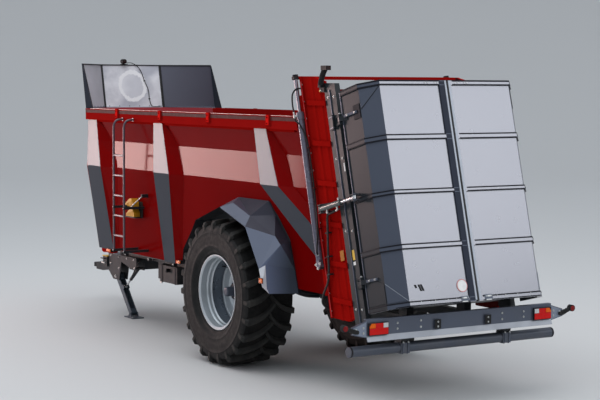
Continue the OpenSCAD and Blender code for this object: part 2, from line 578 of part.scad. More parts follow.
// ---- parking jack -------------------------------------------------------
// the leg slants to the rear and is held by a short ram on the frame
js = sin(jack_slant);
jc = cos(jack_slant);
foot_pin_z = 60;
leg_l = (jack_z - foot_pin_z) / jc;
foot_x = jack_x - leg_l * js;
strut_pin = [4180, 800];
strut_eye = [jack_x - 260 * js - 60 * jc, jack_z - 260 * jc + 60 * js];
strut_l = norm(strut_eye - strut_pin);
strut_a = atan2(strut_pin[1] - strut_eye[1], strut_eye[0] - strut_pin[0]);
module jack_bracket() color(dark) place() union() {
  for (k = [-75, 63]) prism_y([[4120, 965], [4120, 770], [4240, 770], [4660, 860], [4740, 560], [4960, 560], [5140, 690], [5140, 965]], jack_y + k, jack_y + k + 12);
  blk(4120, 5140, jack_y - 75, jack_y + 75, 953, 965);
  blk(5128, 5140, jack_y - 75, jack_y + 75, 690, 965);
  rod_y(jack_y - 75, jack_y + 75, jack_x, jack_z, 20);
  rod_y(jack_y - 75, jack_y + 75, strut_pin[0], strut_pin[1], 14);
}
// leg frame: z along the leg from the pivot down
module along_leg() translate([jack_x, jack_y, jack_z]) rotate([0, 180 + jack_slant, 0]) children();
module jack_leg() color(dark) place() difference() {
  union() {
    rod_y(jack_y - 56, jack_y + 56, jack_x, jack_z, 54);
    // channel, open to the rear
    along_leg() difference() {
      translate([-45, -50, 0]) cube([90, 100, leg_l + 8]);
      translate([-33, -38, 90]) cube([100, 76, leg_l - 160]);
    }
    // ears for the ram eye
    along_leg() for (k = [-50, 38]) translate([30, k, 225]) cube([55, 12, 70]);
    blk(foot_x - 170, foot_x + 130, jack_y - 100, jack_y + 100, 0, 16);
    for (k = [-64, 52]) prism_y([[foot_x - 60, 10], [foot_x + 60, 10], [foot_x + 25, foot_pin_z + 25], [foot_x - 25, foot_pin_z + 25]], jack_y + k, jack_y + k + 12);
    rod_y(jack_y - 70, jack_y + 70, foot_x, foot_pin_z, 14);
  }
  rod_y(jack_y - 100, jack_y + 100, jack_x, jack_z, 20.06);
  // below the foot nothing of the slanted channel reaches the ground
  blk(foot_x - 400, foot_x + 400, jack_y - 300, jack_y + 300, -200, 0);
}
module along_strut() translate([strut_pin[0], jack_y, strut_pin[1]]) rotate([0, 90 + strut_a, 0]) children();
module jack_barrel() color(dark) place() difference() {
  union() {
    along_strut() translate([0, 0, 20]) cylinder(h = 330, r = 26);
    rod_y(jack_y - 22, jack_y + 22, strut_pin[0], strut_pin[1], 26);
  }
  rod_y(jack_y - 100, jack_y + 100, strut_pin[0], strut_pin[1], 14.06);
  along_strut() translate([0, 0, 45]) cylinder(h = 400, r = 14.06);
}
module jack_rod() color(steel) place() union() {
  along_strut() translate([0, 0, strut_l - 360]) cylinder(h = 350, r = 14);
  rod_y(jack_y - 20, jack_y + 20, strut_eye[0], strut_eye[1], 22);
}

// closed oil tank hung on the left rail
module oil_tank() color(dark) place() blk(2680, 3230, 400, 600, 710, 964.9);

// ---- power line ---------------------------------------------------------
module driveline() color(steel) place() union() {
  rod_x(-1980, 5080, 0, line_z, 25);
  rod_x(5080, 5160, 0, line_z, 17.45);
  rod_x(4905, 5000, 0, line_z, 45);
}

chassis();
drawbar();
drawbar_ring();
axle_beam();
tyre_left();
rim_left();
tyre_right();
rim_right();
fender_left();
fender_right();
box_floor();
floor_chain();
side_wall_left();
side_wall_right();
side_pillars_left();
side_pillars_right();
top_rail_left();
top_rail_right();
front_wall();
front_screen();
screen_lamp();
ladder();
lift_gate();
gate_barrel_left();
gate_barrel_right();
adapter_wall_left();
adapter_wall_right();
rear_post_left();
rear_post_right();
top_beam();
beater_bearing_beam();
beater_pan();
beater_gearbox();
beater_left();
beater_right();
door_left();
door_right();
ram_barrel_left();
ram_barrel_right();
ram_rod_left();
ram_rod_right();
rear_carrier();
lamp_bar();
side_markers();
underrun_tube();
jack_bracket();
jack_leg();
jack_barrel();
jack_rod();
oil_tank();
driveline();
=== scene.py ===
import bpy
import math
import random
from mathutils import Matrix, Vector


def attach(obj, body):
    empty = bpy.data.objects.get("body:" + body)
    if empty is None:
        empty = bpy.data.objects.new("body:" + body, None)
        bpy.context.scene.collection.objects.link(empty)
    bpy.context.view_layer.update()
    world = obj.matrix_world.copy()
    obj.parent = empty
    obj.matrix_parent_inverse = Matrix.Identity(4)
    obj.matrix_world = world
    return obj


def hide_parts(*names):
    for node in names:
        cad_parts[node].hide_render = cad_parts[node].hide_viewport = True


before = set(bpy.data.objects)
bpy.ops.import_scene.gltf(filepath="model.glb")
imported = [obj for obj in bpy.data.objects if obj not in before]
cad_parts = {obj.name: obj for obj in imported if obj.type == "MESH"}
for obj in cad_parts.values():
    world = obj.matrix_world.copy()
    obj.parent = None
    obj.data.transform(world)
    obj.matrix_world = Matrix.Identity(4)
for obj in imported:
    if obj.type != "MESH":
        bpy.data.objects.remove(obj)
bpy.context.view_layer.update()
random.seed(7)

# ------------------------------------------------------------------ places
# x is counted from the axle, as in the part's source; S moves it to the row frame
LEAN = math.radians(14.6)
SA, CA = math.sin(LEAN), math.cos(LEAN)
DOOR_FOOT_X, DOOR_FOOT_Z = 3.700, 1.238
REAR_X = -DOOR_FOOT_X - 0.014 * CA - 0.045 * SA
S = -(REAR_X + 6.870) / 2


def Q(x, y, z):
    return Vector((x + S, y, z))


def L(u, y, w):
    """leaning rear frame: u forward, w up along the lean"""
    return Vector((-DOOR_FOOT_X + u * CA + w * SA + S, y, DOOR_FOOT_Z - u * SA + w * CA))


def lin(r, g, b):
    return tuple((c / 255 / 12.92) if c / 255 <= 0.04045 else ((c / 255 + 0.055) / 1.055) ** 2.4 for c in (r, g, b))


# ------------------------------------------------------------------ camera
def make_camera():
    yaw, pitch, roll = 0.5545849796, 0.0734148792, 0.0050607034
    fw = Vector((math.cos(yaw) * math.cos(pitch), -math.sin(yaw) * math.cos(pitch), -math.sin(pitch)))
    right = Vector((-math.sin(yaw), -math.cos(yaw), 0))
    up = right.cross(fw)
    r2 = math.cos(roll) * right + math.sin(roll) * up
    u2 = -math.sin(roll) * right + math.cos(roll) * up
    cam = bpy.data.cameras.new("photo_camera")
    cam.sensor_width = 36.0
    cam.lens = 94.917
    cam.clip_end = 400
    ob = bpy.data.objects.new("photo_camera", cam)
    bpy.context.scene.collection.objects.link(ob)
    m = Matrix((r2, u2, -fw)).transposed().to_4x4()
    m.translation = Vector((-18.1176 + S, 11.3448, 3.7017))
    ob.matrix_world = m
    bpy.context.scene.camera = ob


make_camera()

# --------------------------------------------------------------- materials
WHITE = (1, 1, 1, 1)


def rgba(c):
    return (c[0], c[1], c[2], 1.0)


def scaled(c, k):
    return tuple(min(1.0, v * k) for v in c)


class Shader:
    """short hand for building one Principled material"""

    def __init__(self, name):
        self.m = bpy.data.materials.new(name)
        self.m.use_nodes = True
        self.t = self.m.node_tree
        self.p = self.t.nodes["Principled BSDF"]
        self.co = self.t.nodes.new("ShaderNodeTexCoord").outputs["Object"]

    def node(self, kind, **kw):
        n = self.t.nodes.new(kind)
        for k, v in kw.items():
            if k in n.inputs:
                n.inputs[k].default_value = v
            else:
                setattr(n, k, v)
        return n

    def link(self, a, b):
        self.t.links.new(a, b)

    def noise(self, scale, detail=3.0, rough=0.5, stretch=None):
        n = self.node("ShaderNodeTexNoise", Scale=scale, Detail=detail, Roughness=rough)
        src = self.co
        if stretch:
            mp = self.node("ShaderNodeMapping", Scale=stretch)
            self.link(src, mp.inputs["Vector"])
            src = mp.outputs["Vector"]
        self.link(src, n.inputs["Vector"])
        return n.outputs["Fac"]

    def ramp(self, fac, lo, hi, a=0.0, b=1.0):
        n = self.node("ShaderNodeMapRange")
        n.inputs["From Min"].default_value = lo
        n.inputs["From Max"].default_value = hi
        n.inputs["To Min"].default_value = a
        n.inputs["To Max"].default_value = b
        self.link(fac, n.inputs["Value"])
        return n.outputs["Result"]

    def math(self, op, a, b):
        n = self.node("ShaderNodeMath", operation=op)
        for i, v in enumerate((a, b)):
            if isinstance(v, (int, float)):
                n.inputs[i].default_value = v
            else:
                self.link(v, n.inputs[i])
        return n.outputs[0]

    def mix(self, fac, a, b):
        n = self.node("ShaderNodeMix", data_type="RGBA")
        n.inputs[0].default_value = 0.5
        if isinstance(fac, (int, float)):
            n.inputs[0].default_value = fac
        else:
            self.link(fac, n.inputs[0])
        for i, v in ((6, a), (7, b)):
            if isinstance(v, tuple):
                n.inputs[i].default_value = v if len(v) == 4 else rgba(v)
            else:
                self.link(v, n.inputs[i])
        return n.outputs[2]

    def height(self, axis="Z"):
        n = self.node("ShaderNodeSeparateXYZ")
        self.link(self.co, n.inputs[0])
        return n.outputs[axis]

    def bump(self, height, strength, distance, edge=0.0):
        n = self.node("ShaderNodeBump", Strength=strength, Distance=distance)
        self.link(height, n.inputs["Height"])
        if edge:
            b = self.node("ShaderNodeBevel", samples=4)
            b.inputs["Radius"].default_value = edge
            self.link(b.outputs[0], n.inputs["Normal"])
        self.link(n.outputs[0], self.p.inputs["Normal"])

    def set(self, **kw):
        for k, v in kw.items():
            key = k.replace("_", " ")
            if isinstance(v, tuple) and len(v) == 3 and key in ("Base Color", "Emission Color", "Specular Tint", "Sheen Tint"):
                v = rgba(v)
            if hasattr(v, "is_output"):
                self.link(v, self.p.inputs[key])
            else:
                self.p.inputs[key].default_value = v
        return self


def paint(name, base, rough=0.32, metallic=0.0, coat=0.0, spec=0.5, dust=0.25, var=0.12, edge=0.004, dust_col=(0.21, 0.18, 0.14), coat_rough=0.08, peel=0.03, rv=0.05):
    """sprayed metal: faint cloudiness, road film towards the ground, orange peel, rounded edges"""
    s = Shader(name)
    cloud = s.ramp(s.noise(1.1, 4), 0.3, 0.7)
    col = s.mix(cloud, scaled(base, 1 - var), scaled(base, 1 + var))
    low = s.ramp(s.height(), 0.5, 1.9, 1.0, 0.12)
    blot = s.ramp(s.noise(5.5, 6, 0.6), 0.42, 0.72)
    film = s.math("MULTIPLY", s.math("MULTIPLY", low, blot), dust)
    col = s.mix(film, col, dust_col)
    r = s.math("ADD", s.ramp(s.noise(9, 4), 0.3, 0.7, rough - rv, rough + rv), s.math("MULTIPLY", film, 0.5))
    s.set(Base_Color=col, Metallic=metallic, Roughness=r)
    s.p.inputs["Specular IOR Level"].default_value = spec
    s.p.inputs["Coat Weight"].default_value = coat
    s.p.inputs["Coat Roughness"].default_value = coat_rough
    s.bump(s.noise(160, 2), peel, 0.001, edge)
    return s.m


def light_and_shade_gradient(name, a, b, axis, lo, hi, rough=0.36, metallic=0.1, spec=0.15, var=0.03):
    """sprayed sheet whose colour goes from colour a to colour b along one axis: a painted gradient of light and shade,
    standing in for how a bent sheet is lit under the sky
    """
    s = Shader(name)
    cloud = s.ramp(s.noise(1.3, 4), 0.3, 0.7, 1 - var, 1 + var)
    t = s.ramp(s.height(axis), lo, hi)
    col = s.mix(t, a, b)
    hsv = s.node("ShaderNodeHueSaturation")
    s.link(col, hsv.inputs["Color"])
    s.link(cloud, hsv.inputs["Value"])
    s.set(Base_Color=hsv.outputs[0], Metallic=metallic, Roughness=rough)
    s.p.inputs["Specular IOR Level"].default_value = spec
    s.bump(s.noise(160, 2), 0.012, 0.001, 0.004)
    return s.m


def bare(name, base, rough=0.3, metallic=1.0, scratch=(1, 1, 40), edge=0.003, depth=0.05):
    """machined or galvanised metal with a drawn grain"""
    s = Shader(name)
    grain = s.noise(30, 5, 0.6, scratch)
    col = s.mix(s.ramp(grain, 0.3, 0.7), scaled(base, 0.86), scaled(base, 1.08))
    spot = s.ramp(s.noise(3.1, 5), 0.45, 0.75)
    col = s.mix(s.math("MULTIPLY", spot, 0.25), col, scaled(base, 0.6))
    s.set(Base_Color=col, Metallic=metallic, Roughness=s.ramp(grain, 0.3, 0.7, rough, rough + 0.14))
    s.bump(grain, depth, 0.001, edge)
    return s.m


def rubber(name, base=(0.022, 0.022, 0.023), rough=0.78, dust=0.35, bump=0.25, scale=60):
    s = Shader(name)
    blot = s.ramp(s.noise(7, 6, 0.65), 0.4, 0.75)
    col = s.mix(s.math("MULTIPLY", blot, dust), base, (0.115, 0.105, 0.09))
    s.set(Base_Color=col, Roughness=s.ramp(s.noise(25, 4), 0.3, 0.7, rough - 0.1, rough + 0.08))
    s.p.inputs["Specular IOR Level"].default_value = 0.2
    s.bump(s.noise(scale, 5), bump, 0.002, 0.003)
    return s.m


def plastic(name, base, rough=0.42, bump=0.04, spec=0.5):
    s = Shader(name)
    col = s.mix(s.ramp(s.noise(14, 4), 0.35, 0.7), scaled(base, 0.88), scaled(base, 1.06))
    s.set(Base_Color=col, Roughness=s.ramp(s.noise(40, 3), 0.3, 0.7, rough - 0.05, rough + 0.08))
    s.p.inputs["Specular IOR Level"].default_value = spec
    s.bump(s.noise(320, 2), bump, 0.0006, 0.002)
    return s.m


def lens(name, base, glow=0.0):
    """moulded lamp lens with fine prisms"""
    s = Shader(name)
    w = s.node("ShaderNodeTexWave", Scale=46.0, Distortion=0.0)
    w.bands_direction = "Z"
    s.link(s.co, w.inputs["Vector"])
    w2 = s.node("ShaderNodeTexWave", Scale=40.0, Distortion=0.0)
    w2.bands_direction = "Y"
    s.link(s.co, w2.inputs["Vector"])
    h = s.math("ADD", w.outputs["Fac"], w2.outputs["Fac"])
    col = s.mix(s.ramp(h, 0.2, 1.8), scaled(base, 0.7), scaled(base, 1.15))
    s.set(Base_Color=col, Roughness=0.14)
    s.p.inputs["Specular IOR Level"].default_value = 0.25
    s.bump(h, 0.35, 0.001)
    return s.m


M = {}
M["red"] = paint("red_paint_body", lin(126, 4, 4), rough=0.12, spec=0.035, dust=0.04, var=0.05, peel=0.008, rv=0.012)
# darker, barely reflecting copy of the body red: painted shade for the sheet below the crease, which faces the ground
M["red_low"] = paint("red_paint_low_painted_shade", lin(122, 4, 4), rough=0.2, spec=0.008, dust=0.0, var=0.05, peel=0.008, rv=0.012)
M["red_rail"] = paint("red_paint_rail", lin(150, 20, 18), rough=0.34, spec=0.0, dust=0.02, var=0.06)
M["red_bright"] = paint("red_paint_bracket", lin(222, 30, 26), rough=0.4, spec=0.0, dust=0.02, var=0.05)
M["red_adapter"] = paint("red_paint_adapter", lin(156, 18, 14), rough=0.34, spec=0.0, dust=0.0, var=0.05)
M["silver"] = paint("silver_grey_door_paint", lin(149, 150, 157), rough=0.27, metallic=0.8, coat=0.1, dust=0.0, var=0.008, peel=0.006, rv=0.004)
# darker copies of the door paint for the chamfers and the side faces: painted shade on faces turned away from the light
M["door_chamfer"] = paint("grey_door_chamfer_paint", lin(84, 90, 104), rough=0.34, metallic=0.35, spec=0.3, dust=0.0, var=0.01, peel=0.008, rv=0.006)
M["door_side"] = paint("dark_door_side_paint", lin(42, 46, 51), rough=0.36, metallic=0.2, spec=0.25, dust=0.04, var=0.04, peel=0.010)
# lighter and darker copies of one stripe grey: painted light and shade above and below the crease
M["stripe"] = paint("silver_grey_stripe_paint", lin(136, 138, 144), rough=0.13, spec=0.035, dust=0.0, var=0.02, peel=0.008, rv=0.012)
M["stripe_low"] = paint("grey_stripe_paint_lower_painted_shade", lin(66, 70, 78), rough=0.20, spec=0.05, dust=0.04, var=0.04, peel=0.008, rv=0.02)
M["slate"] = paint("slate_paint", lin(96, 101, 120), rough=0.34, metallic=0.3, spec=0.3, dust=0.04, var=0.04)
M["screen"] = paint("screen_paint", lin(84, 86, 102), rough=0.4, metallic=0.2, spec=0.3, dust=0.0, var=0.05)
# screen paint with a painted gradient of light and shade for the right facet
M["screen_far"] = light_and_shade_gradient("screen_paint_far_painted_shade", lin(76, 74, 86), lin(104, 106, 118), "Y", -1.18, -0.53, rough=0.4, metallic=0.2, spec=0.2)
M["dark"] = paint("dark_frame_paint", lin(34, 37, 42), rough=0.46, spec=0.25, dust=0.18, var=0.15)
M["post"] = paint("dark_post_paint", lin(40, 46, 50), rough=0.42, spec=0.22, dust=0.06, var=0.08)
M["line"] = paint("dark_edge_paint", lin(30, 31, 38), rough=0.5, spec=0.15, dust=0.0, var=0.06)
M["bar"] = paint("grey_bar_paint", lin(90, 96, 110), rough=0.34, metallic=0.4, spec=0.3, dust=0.08, var=0.04)
# lighter copy of the bar paint for its lip: painted light
M["bar_light"] = paint("bar_paint_lip_painted_light", lin(150, 154, 162), rough=0.34, metallic=0.4, spec=0.3, dust=0.06, var=0.04)
# lighter copy of the bar paint for the bar's end plates: painted light
M["bar_end"] = paint("bar_paint_end_painted_light", lin(134, 142, 158), rough=0.36, metallic=0.3, spec=0.3, dust=0.04, var=0.04)
# darker red: painted shade on the inner faces of the adapter walls, also the colour of the hose clips beside the flange
M["red_inside"] = paint("dark_red_paint_shade_and_clips", lin(84, 8, 8), rough=0.45, spec=0.05, dust=0.1, var=0.1)
M["jack_paint"] = paint("blue_grey_jack_paint", lin(78, 88, 98), rough=0.38, metallic=0.2, spec=0.3, dust=0.15, var=0.06)
M["edge"] = paint("light_edge_paint", lin(168, 174, 184), rough=0.36, metallic=0.3, coat=0.1, dust=0.08, var=0.04)
M["tube"] = paint("tube_paint", lin(80, 85, 96), rough=0.40, metallic=0.3, spec=0.3, dust=0.15, var=0.06)
M["rim"] = paint("silver_wheel_paint", lin(188, 195, 200), rough=0.33, metallic=0.4, coat=0.1, dust=0.02, var=0.02)
# darker copy of the wheel paint for the rim's well: painted shade
M["rim_well"] = paint("silver_wheel_paint_well_painted_shade", lin(104, 112, 122), rough=0.3, metallic=0.5, dust=0.02, var=0.03)
M["hub"] = paint("dark_hub_paint", lin(26, 27, 40), rough=0.45, spec=0.25, dust=0.05, var=0.1)
M["hub_cap"] = paint("grey_hub_cap_paint", lin(74, 80, 92), rough=0.4, metallic=0.2, spec=0.3, dust=0.05, var=0.06)
M["floor_steel"] = bare("worn_floor_steel", (0.30, 0.29, 0.28), rough=0.38, scratch=(30, 1, 1))
M["steel"] = bare("bare_steel", (0.52, 0.53, 0.55), rough=0.28)
M["zinc"] = bare("zinc_plate", (0.62, 0.63, 0.62), rough=0.32, scratch=(3, 3, 3))
M["barrel"] = paint("dark_grey_cylinder_paint", lin(112, 110, 124), rough=0.26, metallic=0.4, spec=0.4, dust=0.03, var=0.03)
# darker copy of the chrome for the gate rod: painted shade standing in for its dark reflection
M["gate_rod"] = bare("dark_gate_rod_steel", (0.33, 0.31, 0.35), rough=0.26, scratch=(1, 1, 1), depth=0.01)
M["ram"] = paint("grey_ram_paint", lin(98, 102, 100), rough=0.24, metallic=0.4, coat=0.2, dust=0.05, var=0.05)
# lighter red for the strip along the adapter flange: a painted highlight
M["red_fold"] = paint("red_paint_flange_highlight", lin(186, 44, 46), rough=0.32, spec=0.05, dust=0.0, var=0.05)
M["chrome"] = bare("chrome_rod", (0.78, 0.79, 0.8), rough=0.09, scratch=(1, 1, 1), depth=0.01)
M["beater"] = bare("worn_beater_steel", (0.38, 0.36, 0.34), rough=0.35, scratch=(20, 20, 2))
M["tyre"] = rubber("tyre_rubber", base=(0.013, 0.013, 0.0135), rough=0.7, dust=0.14)
# lug rubber lighter and dustier than the tyre body: dust, and painted light on the lug tops; the next rubber is darker,
# painted shade on the tread floor between the lugs
M["lug"] = rubber("tyre_rubber_lug_dust_and_light", base=(0.020, 0.020, 0.0195), rough=0.68, dust=0.22)
M["groove"] = rubber("tyre_groove_rubber", base=(0.006, 0.006, 0.0062), rough=0.85, dust=0.10)
M["rubber"] = rubber("black_rubber", dust=0.12, scale=120)
M["hose"] = rubber("hose_rubber", base=(0.015, 0.015, 0.016), rough=0.5, dust=0.1, scale=200, bump=0.1)
M["black"] = plastic("black_plastic", (0.014, 0.014, 0.016), rough=0.5, spec=0.2)
M["seam"] = plastic("black_seam", (0.008, 0.008, 0.01), rough=0.6)
M["yellow"] = plastic("yellow_chock_plastic", lin(222, 160, 26), rough=0.5)
M["white"] = plastic("white_label", lin(246, 246, 243), rough=0.45, spec=0.3)
M["label_yellow"] = plastic("yellow_label", lin(226, 180, 36), rough=0.4)
M["label_orange"] = plastic("orange_label", lin(188, 112, 22), rough=0.4, spec=0.15)
# dark paint for the strip at the doors' meeting edge: painted shade standing in for a sunk channel
M["strip"] = paint("door_channel_painted_shade", lin(44, 49, 62), rough=0.45, metallic=0.1, spec=0.15, dust=0.0, var=0.08)
M["smoked"] = lens("smoked_lens", lin(40, 12, 14))
M["ladder"] = paint("ladder_paint", lin(92, 82, 92), rough=0.34, metallic=0.3, coat=0.2, dust=0.1, var=0.08)
M["rung"] = paint("rung_paint", lin(128, 118, 124), rough=0.34, metallic=0.4, coat=0.1, dust=0.1, var=0.08)
# much lighter copy of the screen paint for the left facet: painted light
M["screen_brown"] = paint("screen_paint_left_painted_light", lin(190, 188, 194), rough=0.38, metallic=0.3, spec=0.2, dust=0.0, var=0.14)
M["end_plate"] = paint("screen_end_plate_paint", lin(52, 57, 65), rough=0.5, spec=0.0, dust=0.0, var=0.05)
# lit and shaded copies of the slate paint for the mudguards: painted light and shade
M["slate_light"] = paint("slate_paint_painted_light", lin(118, 125, 142), rough=0.36, metallic=0.3, spec=0.2, dust=0.03, var=0.03)
M["slate_strip"] = paint("slate_strip_paint", lin(93, 99, 114), rough=0.36, metallic=0.3, spec=0.2, dust=0.03, var=0.03)
M["slate_dark"] = paint("slate_paint_painted_shade", lin(60, 60, 71), rough=0.36, metallic=0.2, spec=0.15, dust=0.04, var=0.04)
M["slate_edge"] = paint("slate_paint_painted_highlight", lin(226, 228, 234), rough=0.36, metallic=0.1, spec=0.2, dust=0.03, var=0.03)
M["slate_lower"] = light_and_shade_gradient("slate_paint_lower_painted_shade", lin(66, 76, 88), lin(112, 122, 148), "Y", 1.03, 1.37)
M["slate_lower_right"] = light_and_shade_gradient("slate_paint_lower_painted_shade_right", lin(112, 122, 148), lin(66, 76, 88), "Y", -1.37, -1.03)
# dark brownish band on the rail: painted shade of the rail's channel
M["rail_band"] = rubber("rail_channel_shade_band", base=lin(88, 44, 43), rough=0.7, dust=0.05, scale=120)
# lighter, pinker red for the top of the front wall: painted highlight
M["crest"] = paint("red_paint_crest", lin(160, 62, 68), rough=0.34, spec=0.05, dust=0.0, var=0.05)
M["rim_pink"] = plastic("pale_red_rim", lin(222, 150, 150), rough=0.45)
M["amber"] = lens("amber_lens", lin(236, 104, 10))
M["redlens"] = lens("red_lens", lin(214, 10, 8))
M["marker_red"] = lens("dark_red_lens", lin(128, 14, 16))
M["clear"] = lens("clear_lens", lin(215, 215, 215))


def dress(node, mat):
    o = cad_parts[node]
    o = o if hasattr(o, "data") else bpy.data.objects[o]
    if not o.data.materials:
        o.data.materials.append(mat)
    for i in range(len(o.data.materials)):
        o.data.materials[i] = mat
    for slot in o.material_slots:
        slot.material = mat


DRESS = {
    "chassis": "dark", "drawbar": "dark", "drawbar_ring": "dark", "axle_beam": "dark",
    "rim_left": "rim", "rim_right": "rim", "fender_left": "slate", "fender_right": "slate",
    "box_floor": "dark", "floor_chain": "floor_steel", "side_wall_left": "red", "side_wall_right": "red",
    "side_pillars_left": "red", "side_pillars_right": "red", "top_rail_left": "red_rail", "top_rail_right": "red_rail",
    "front_wall": "red", "front_screen": "screen", "screen_lamp": "black", "ladder": "post",
    "lift_gate": "red_adapter", "gate_barrel_left": "barrel", "gate_barrel_right": "barrel",
    "adapter_wall_left": "red_adapter", "adapter_wall_right": "red_adapter", "rear_post_left": "post", "rear_post_right": "post",
    "top_beam": "red_adapter", "beater_bearing_beam": "dark", "beater_pan": "floor_steel", "beater_gearbox": "dark",
    "beater_left": "beater", "beater_right": "beater", "door_left": "silver", "door_right": "silver",
    "ram_barrel_left": "ram", "ram_barrel_right": "ram", "ram_rod_left": "chrome", "ram_rod_right": "chrome",
    "rear_carrier": "dark", "lamp_bar": "bar", "side_markers": "rubber", "underrun_tube": "tube",
    "jack_bracket": "dark", "jack_leg": "jack_paint", "jack_barrel": "dark", "jack_rod": "chrome",
    "oil_tank": "dark", "driveline": "steel", "tyre_left": "tyre", "tyre_right": "tyre",
}
for node, key in DRESS.items():
    dress(node, M[key])


def repaint(node, mat, wanted):
    """gives the faces that wanted(centre, normal) picks another finish; the mesh stays as it is"""
    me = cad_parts[node].data
    me.materials.append(mat)
    k = len(me.materials) - 1
    for f in me.polygons:
        if wanted(f.center, f.normal):
            f.material_index = k


def low_panel(c, n):
    """the outer face below the crease, which gets the darker, barely reflecting red as painted shade"""
    return n.z < -0.08 and n.y * c.y > 0 and abs(n.y) > 0.5 and 0.9 < c.z < 2.35


def arch_shade_faces(c, n):
    if 0.70 < abs(c.y) < 0.76 and abs(n.y) > 0.9 and n.y * c.y > 0 and c.x - S < 2.0:
        return True
    return abs(n.y) < 0.45 and -1.30 < c.x - S < 1.95 and 1.0 < c.z < 2.16 and (n.z < 0.2)


for name in ("left", "right"):
    # the sheet below the crease in the darker red: painted shade
    repaint("side_wall_" + name, M["red_low"], low_panel)
    # faces in the wheel arch that do not face up, in the dark frame paint: painted shade
    repaint("side_wall_" + name, M["dark"], arch_shade_faces)
    repaint("side_pillars_" + name, M["dark"], arch_shade_faces)


def door_flank(c, n):
    return abs(n.y) > 0.9


def door_chamfer(c, n):
    return 0.4 < abs(n.y) <= 0.9


def under_rail(c, n):
    return c.z > 3.08 and abs(c.y) > 1.1


def adapter_inside(c, n):
    return n.y * c.y < 0 and abs(n.y) > 0.6


def bar_end(c, n):
    return abs(c.y) > 1.362


def bar_lip(c, n):
    return c.z < 0.845 and n.x < -0.2 or n.z > 0.3 and c.z < 0.90


def screen_end(c, n):
    return abs(n.y) > 0.95 and abs(c.y) > 1.10


# picks the top and rear faces of the front wall's top edge, which get the pinker red as painted highlight
def crest(c, n):
    return c.z > 3.10 and (n.x < -0.3 or n.z > 0.5)


def screen_foot(c, n):
    return n.z > 0.7 and c.z < 3.36


def guard_strip(c, n):
    """the strip along the outer edge, in a mid copy of the slate: painted light and shade"""
    return (abs(c.y) > 1.305 and c.z > 1.93) or (abs(c.y) > 1.16 and c.z > 2.10)


def guard_light(c, n):
    """the large face behind it, made of two triangles, in the lighter slate: painted light"""
    x, y, z = c.x - S, abs(c.y), c.z
    return y > 1.24 and 1.58 < z < 1.75 and x < -0.9


def guard_lower(c, n):
    """the back sheet under them, in a painted gradient of light and shade"""
    x, y, z = c.x - S, abs(c.y), c.z
    return z < 1.62 and x < -1.10 and n.x < -0.6


# the lower outer edge, in the pale slate: painted highlight
def guard_edge(c, n):
    x, y, z = c.x - S, abs(c.y), c.z
    return y > 1.345 and z < 1.42


# all other faces of the guard, in the darker slate: painted shade
def guard_dark(c, n):
    return not guard_light(c, n) and not guard_edge(c, n)


repaint("front_screen", M["end_plate"], screen_end)
repaint("front_screen", M["line"], screen_foot)
repaint("front_wall", M["crest"], crest)
for name in ("left", "right"):
    # the guard in lit and shaded copies of the slate paint, face by face: painted light and shade
    repaint("fender_" + name, M["slate_dark"], guard_dark)
    repaint("fender_" + name, M["slate_strip"], guard_strip)
    repaint("fender_" + name, M["slate_light"], guard_light)
    repaint("fender_" + name, M["slate_lower" if name == "left" else "slate_lower_right"], guard_lower)
    repaint("fender_" + name, M["slate_edge"], guard_edge)
# the lower lip and up-facing faces of the lamp bar in the lighter copy of the bar paint: painted light
repaint("lamp_bar", M["bar_light"], bar_lip)
# the end plates of the lamp bar in a lighter copy of the bar paint: painted light
repaint("lamp_bar", M["bar_end"], bar_end)
for name in ("left", "right"):
    # inner faces of the adapter walls in the darker red: painted shade
    repaint("adapter_wall_" + name, M["red_inside"], adapter_inside)
    repaint("side_pillars_" + name, M["red_adapter"], under_rail)
    # side and chamfer faces of the doors in the darker copies of the door paint: painted shade
    repaint("door_" + name, M["door_side"], door_flank)
    repaint("door_" + name, M["door_chamfer"], door_chamfer)


def on_rod(c, n):
    d = c - L(1.447, 1.153 if c.y > 0 else -1.153, 0)
    w = d.x * SA + d.z * CA
    off = math.hypot(d.x * CA - d.z * SA, d.y)
    return off < 0.024 and w < 2.985


def on_cap(c, n):
    d = c - L(1.447, 0, 0)
    return d.x * SA + d.z * CA > 3.0105 and abs(abs(c.y) - 1.153) < 0.04


def in_well(c, n):
    """the drum between the dish and the two ridges, on the outer side; it gets a darker copy of the wheel paint as
    painted shade
    """
    dz, r = c.z - 0.962, math.hypot(c.x - S, c.z - 0.962)
    inward = -(n.x * (c.x - S) + n.z * dz) / max(r, 0.01)
    return 1.07 < abs(c.y) < 1.235 and 0.40 < r < 0.445 and inward > 0.7


repaint("rim_left", M["rim_well"], in_well)
repaint("rim_right", M["rim_well"], in_well)
# the gate's rod in the darker chrome: painted shade
repaint("lift_gate", M["gate_rod"], on_rod)
repaint("lift_gate", M["black"], on_cap)


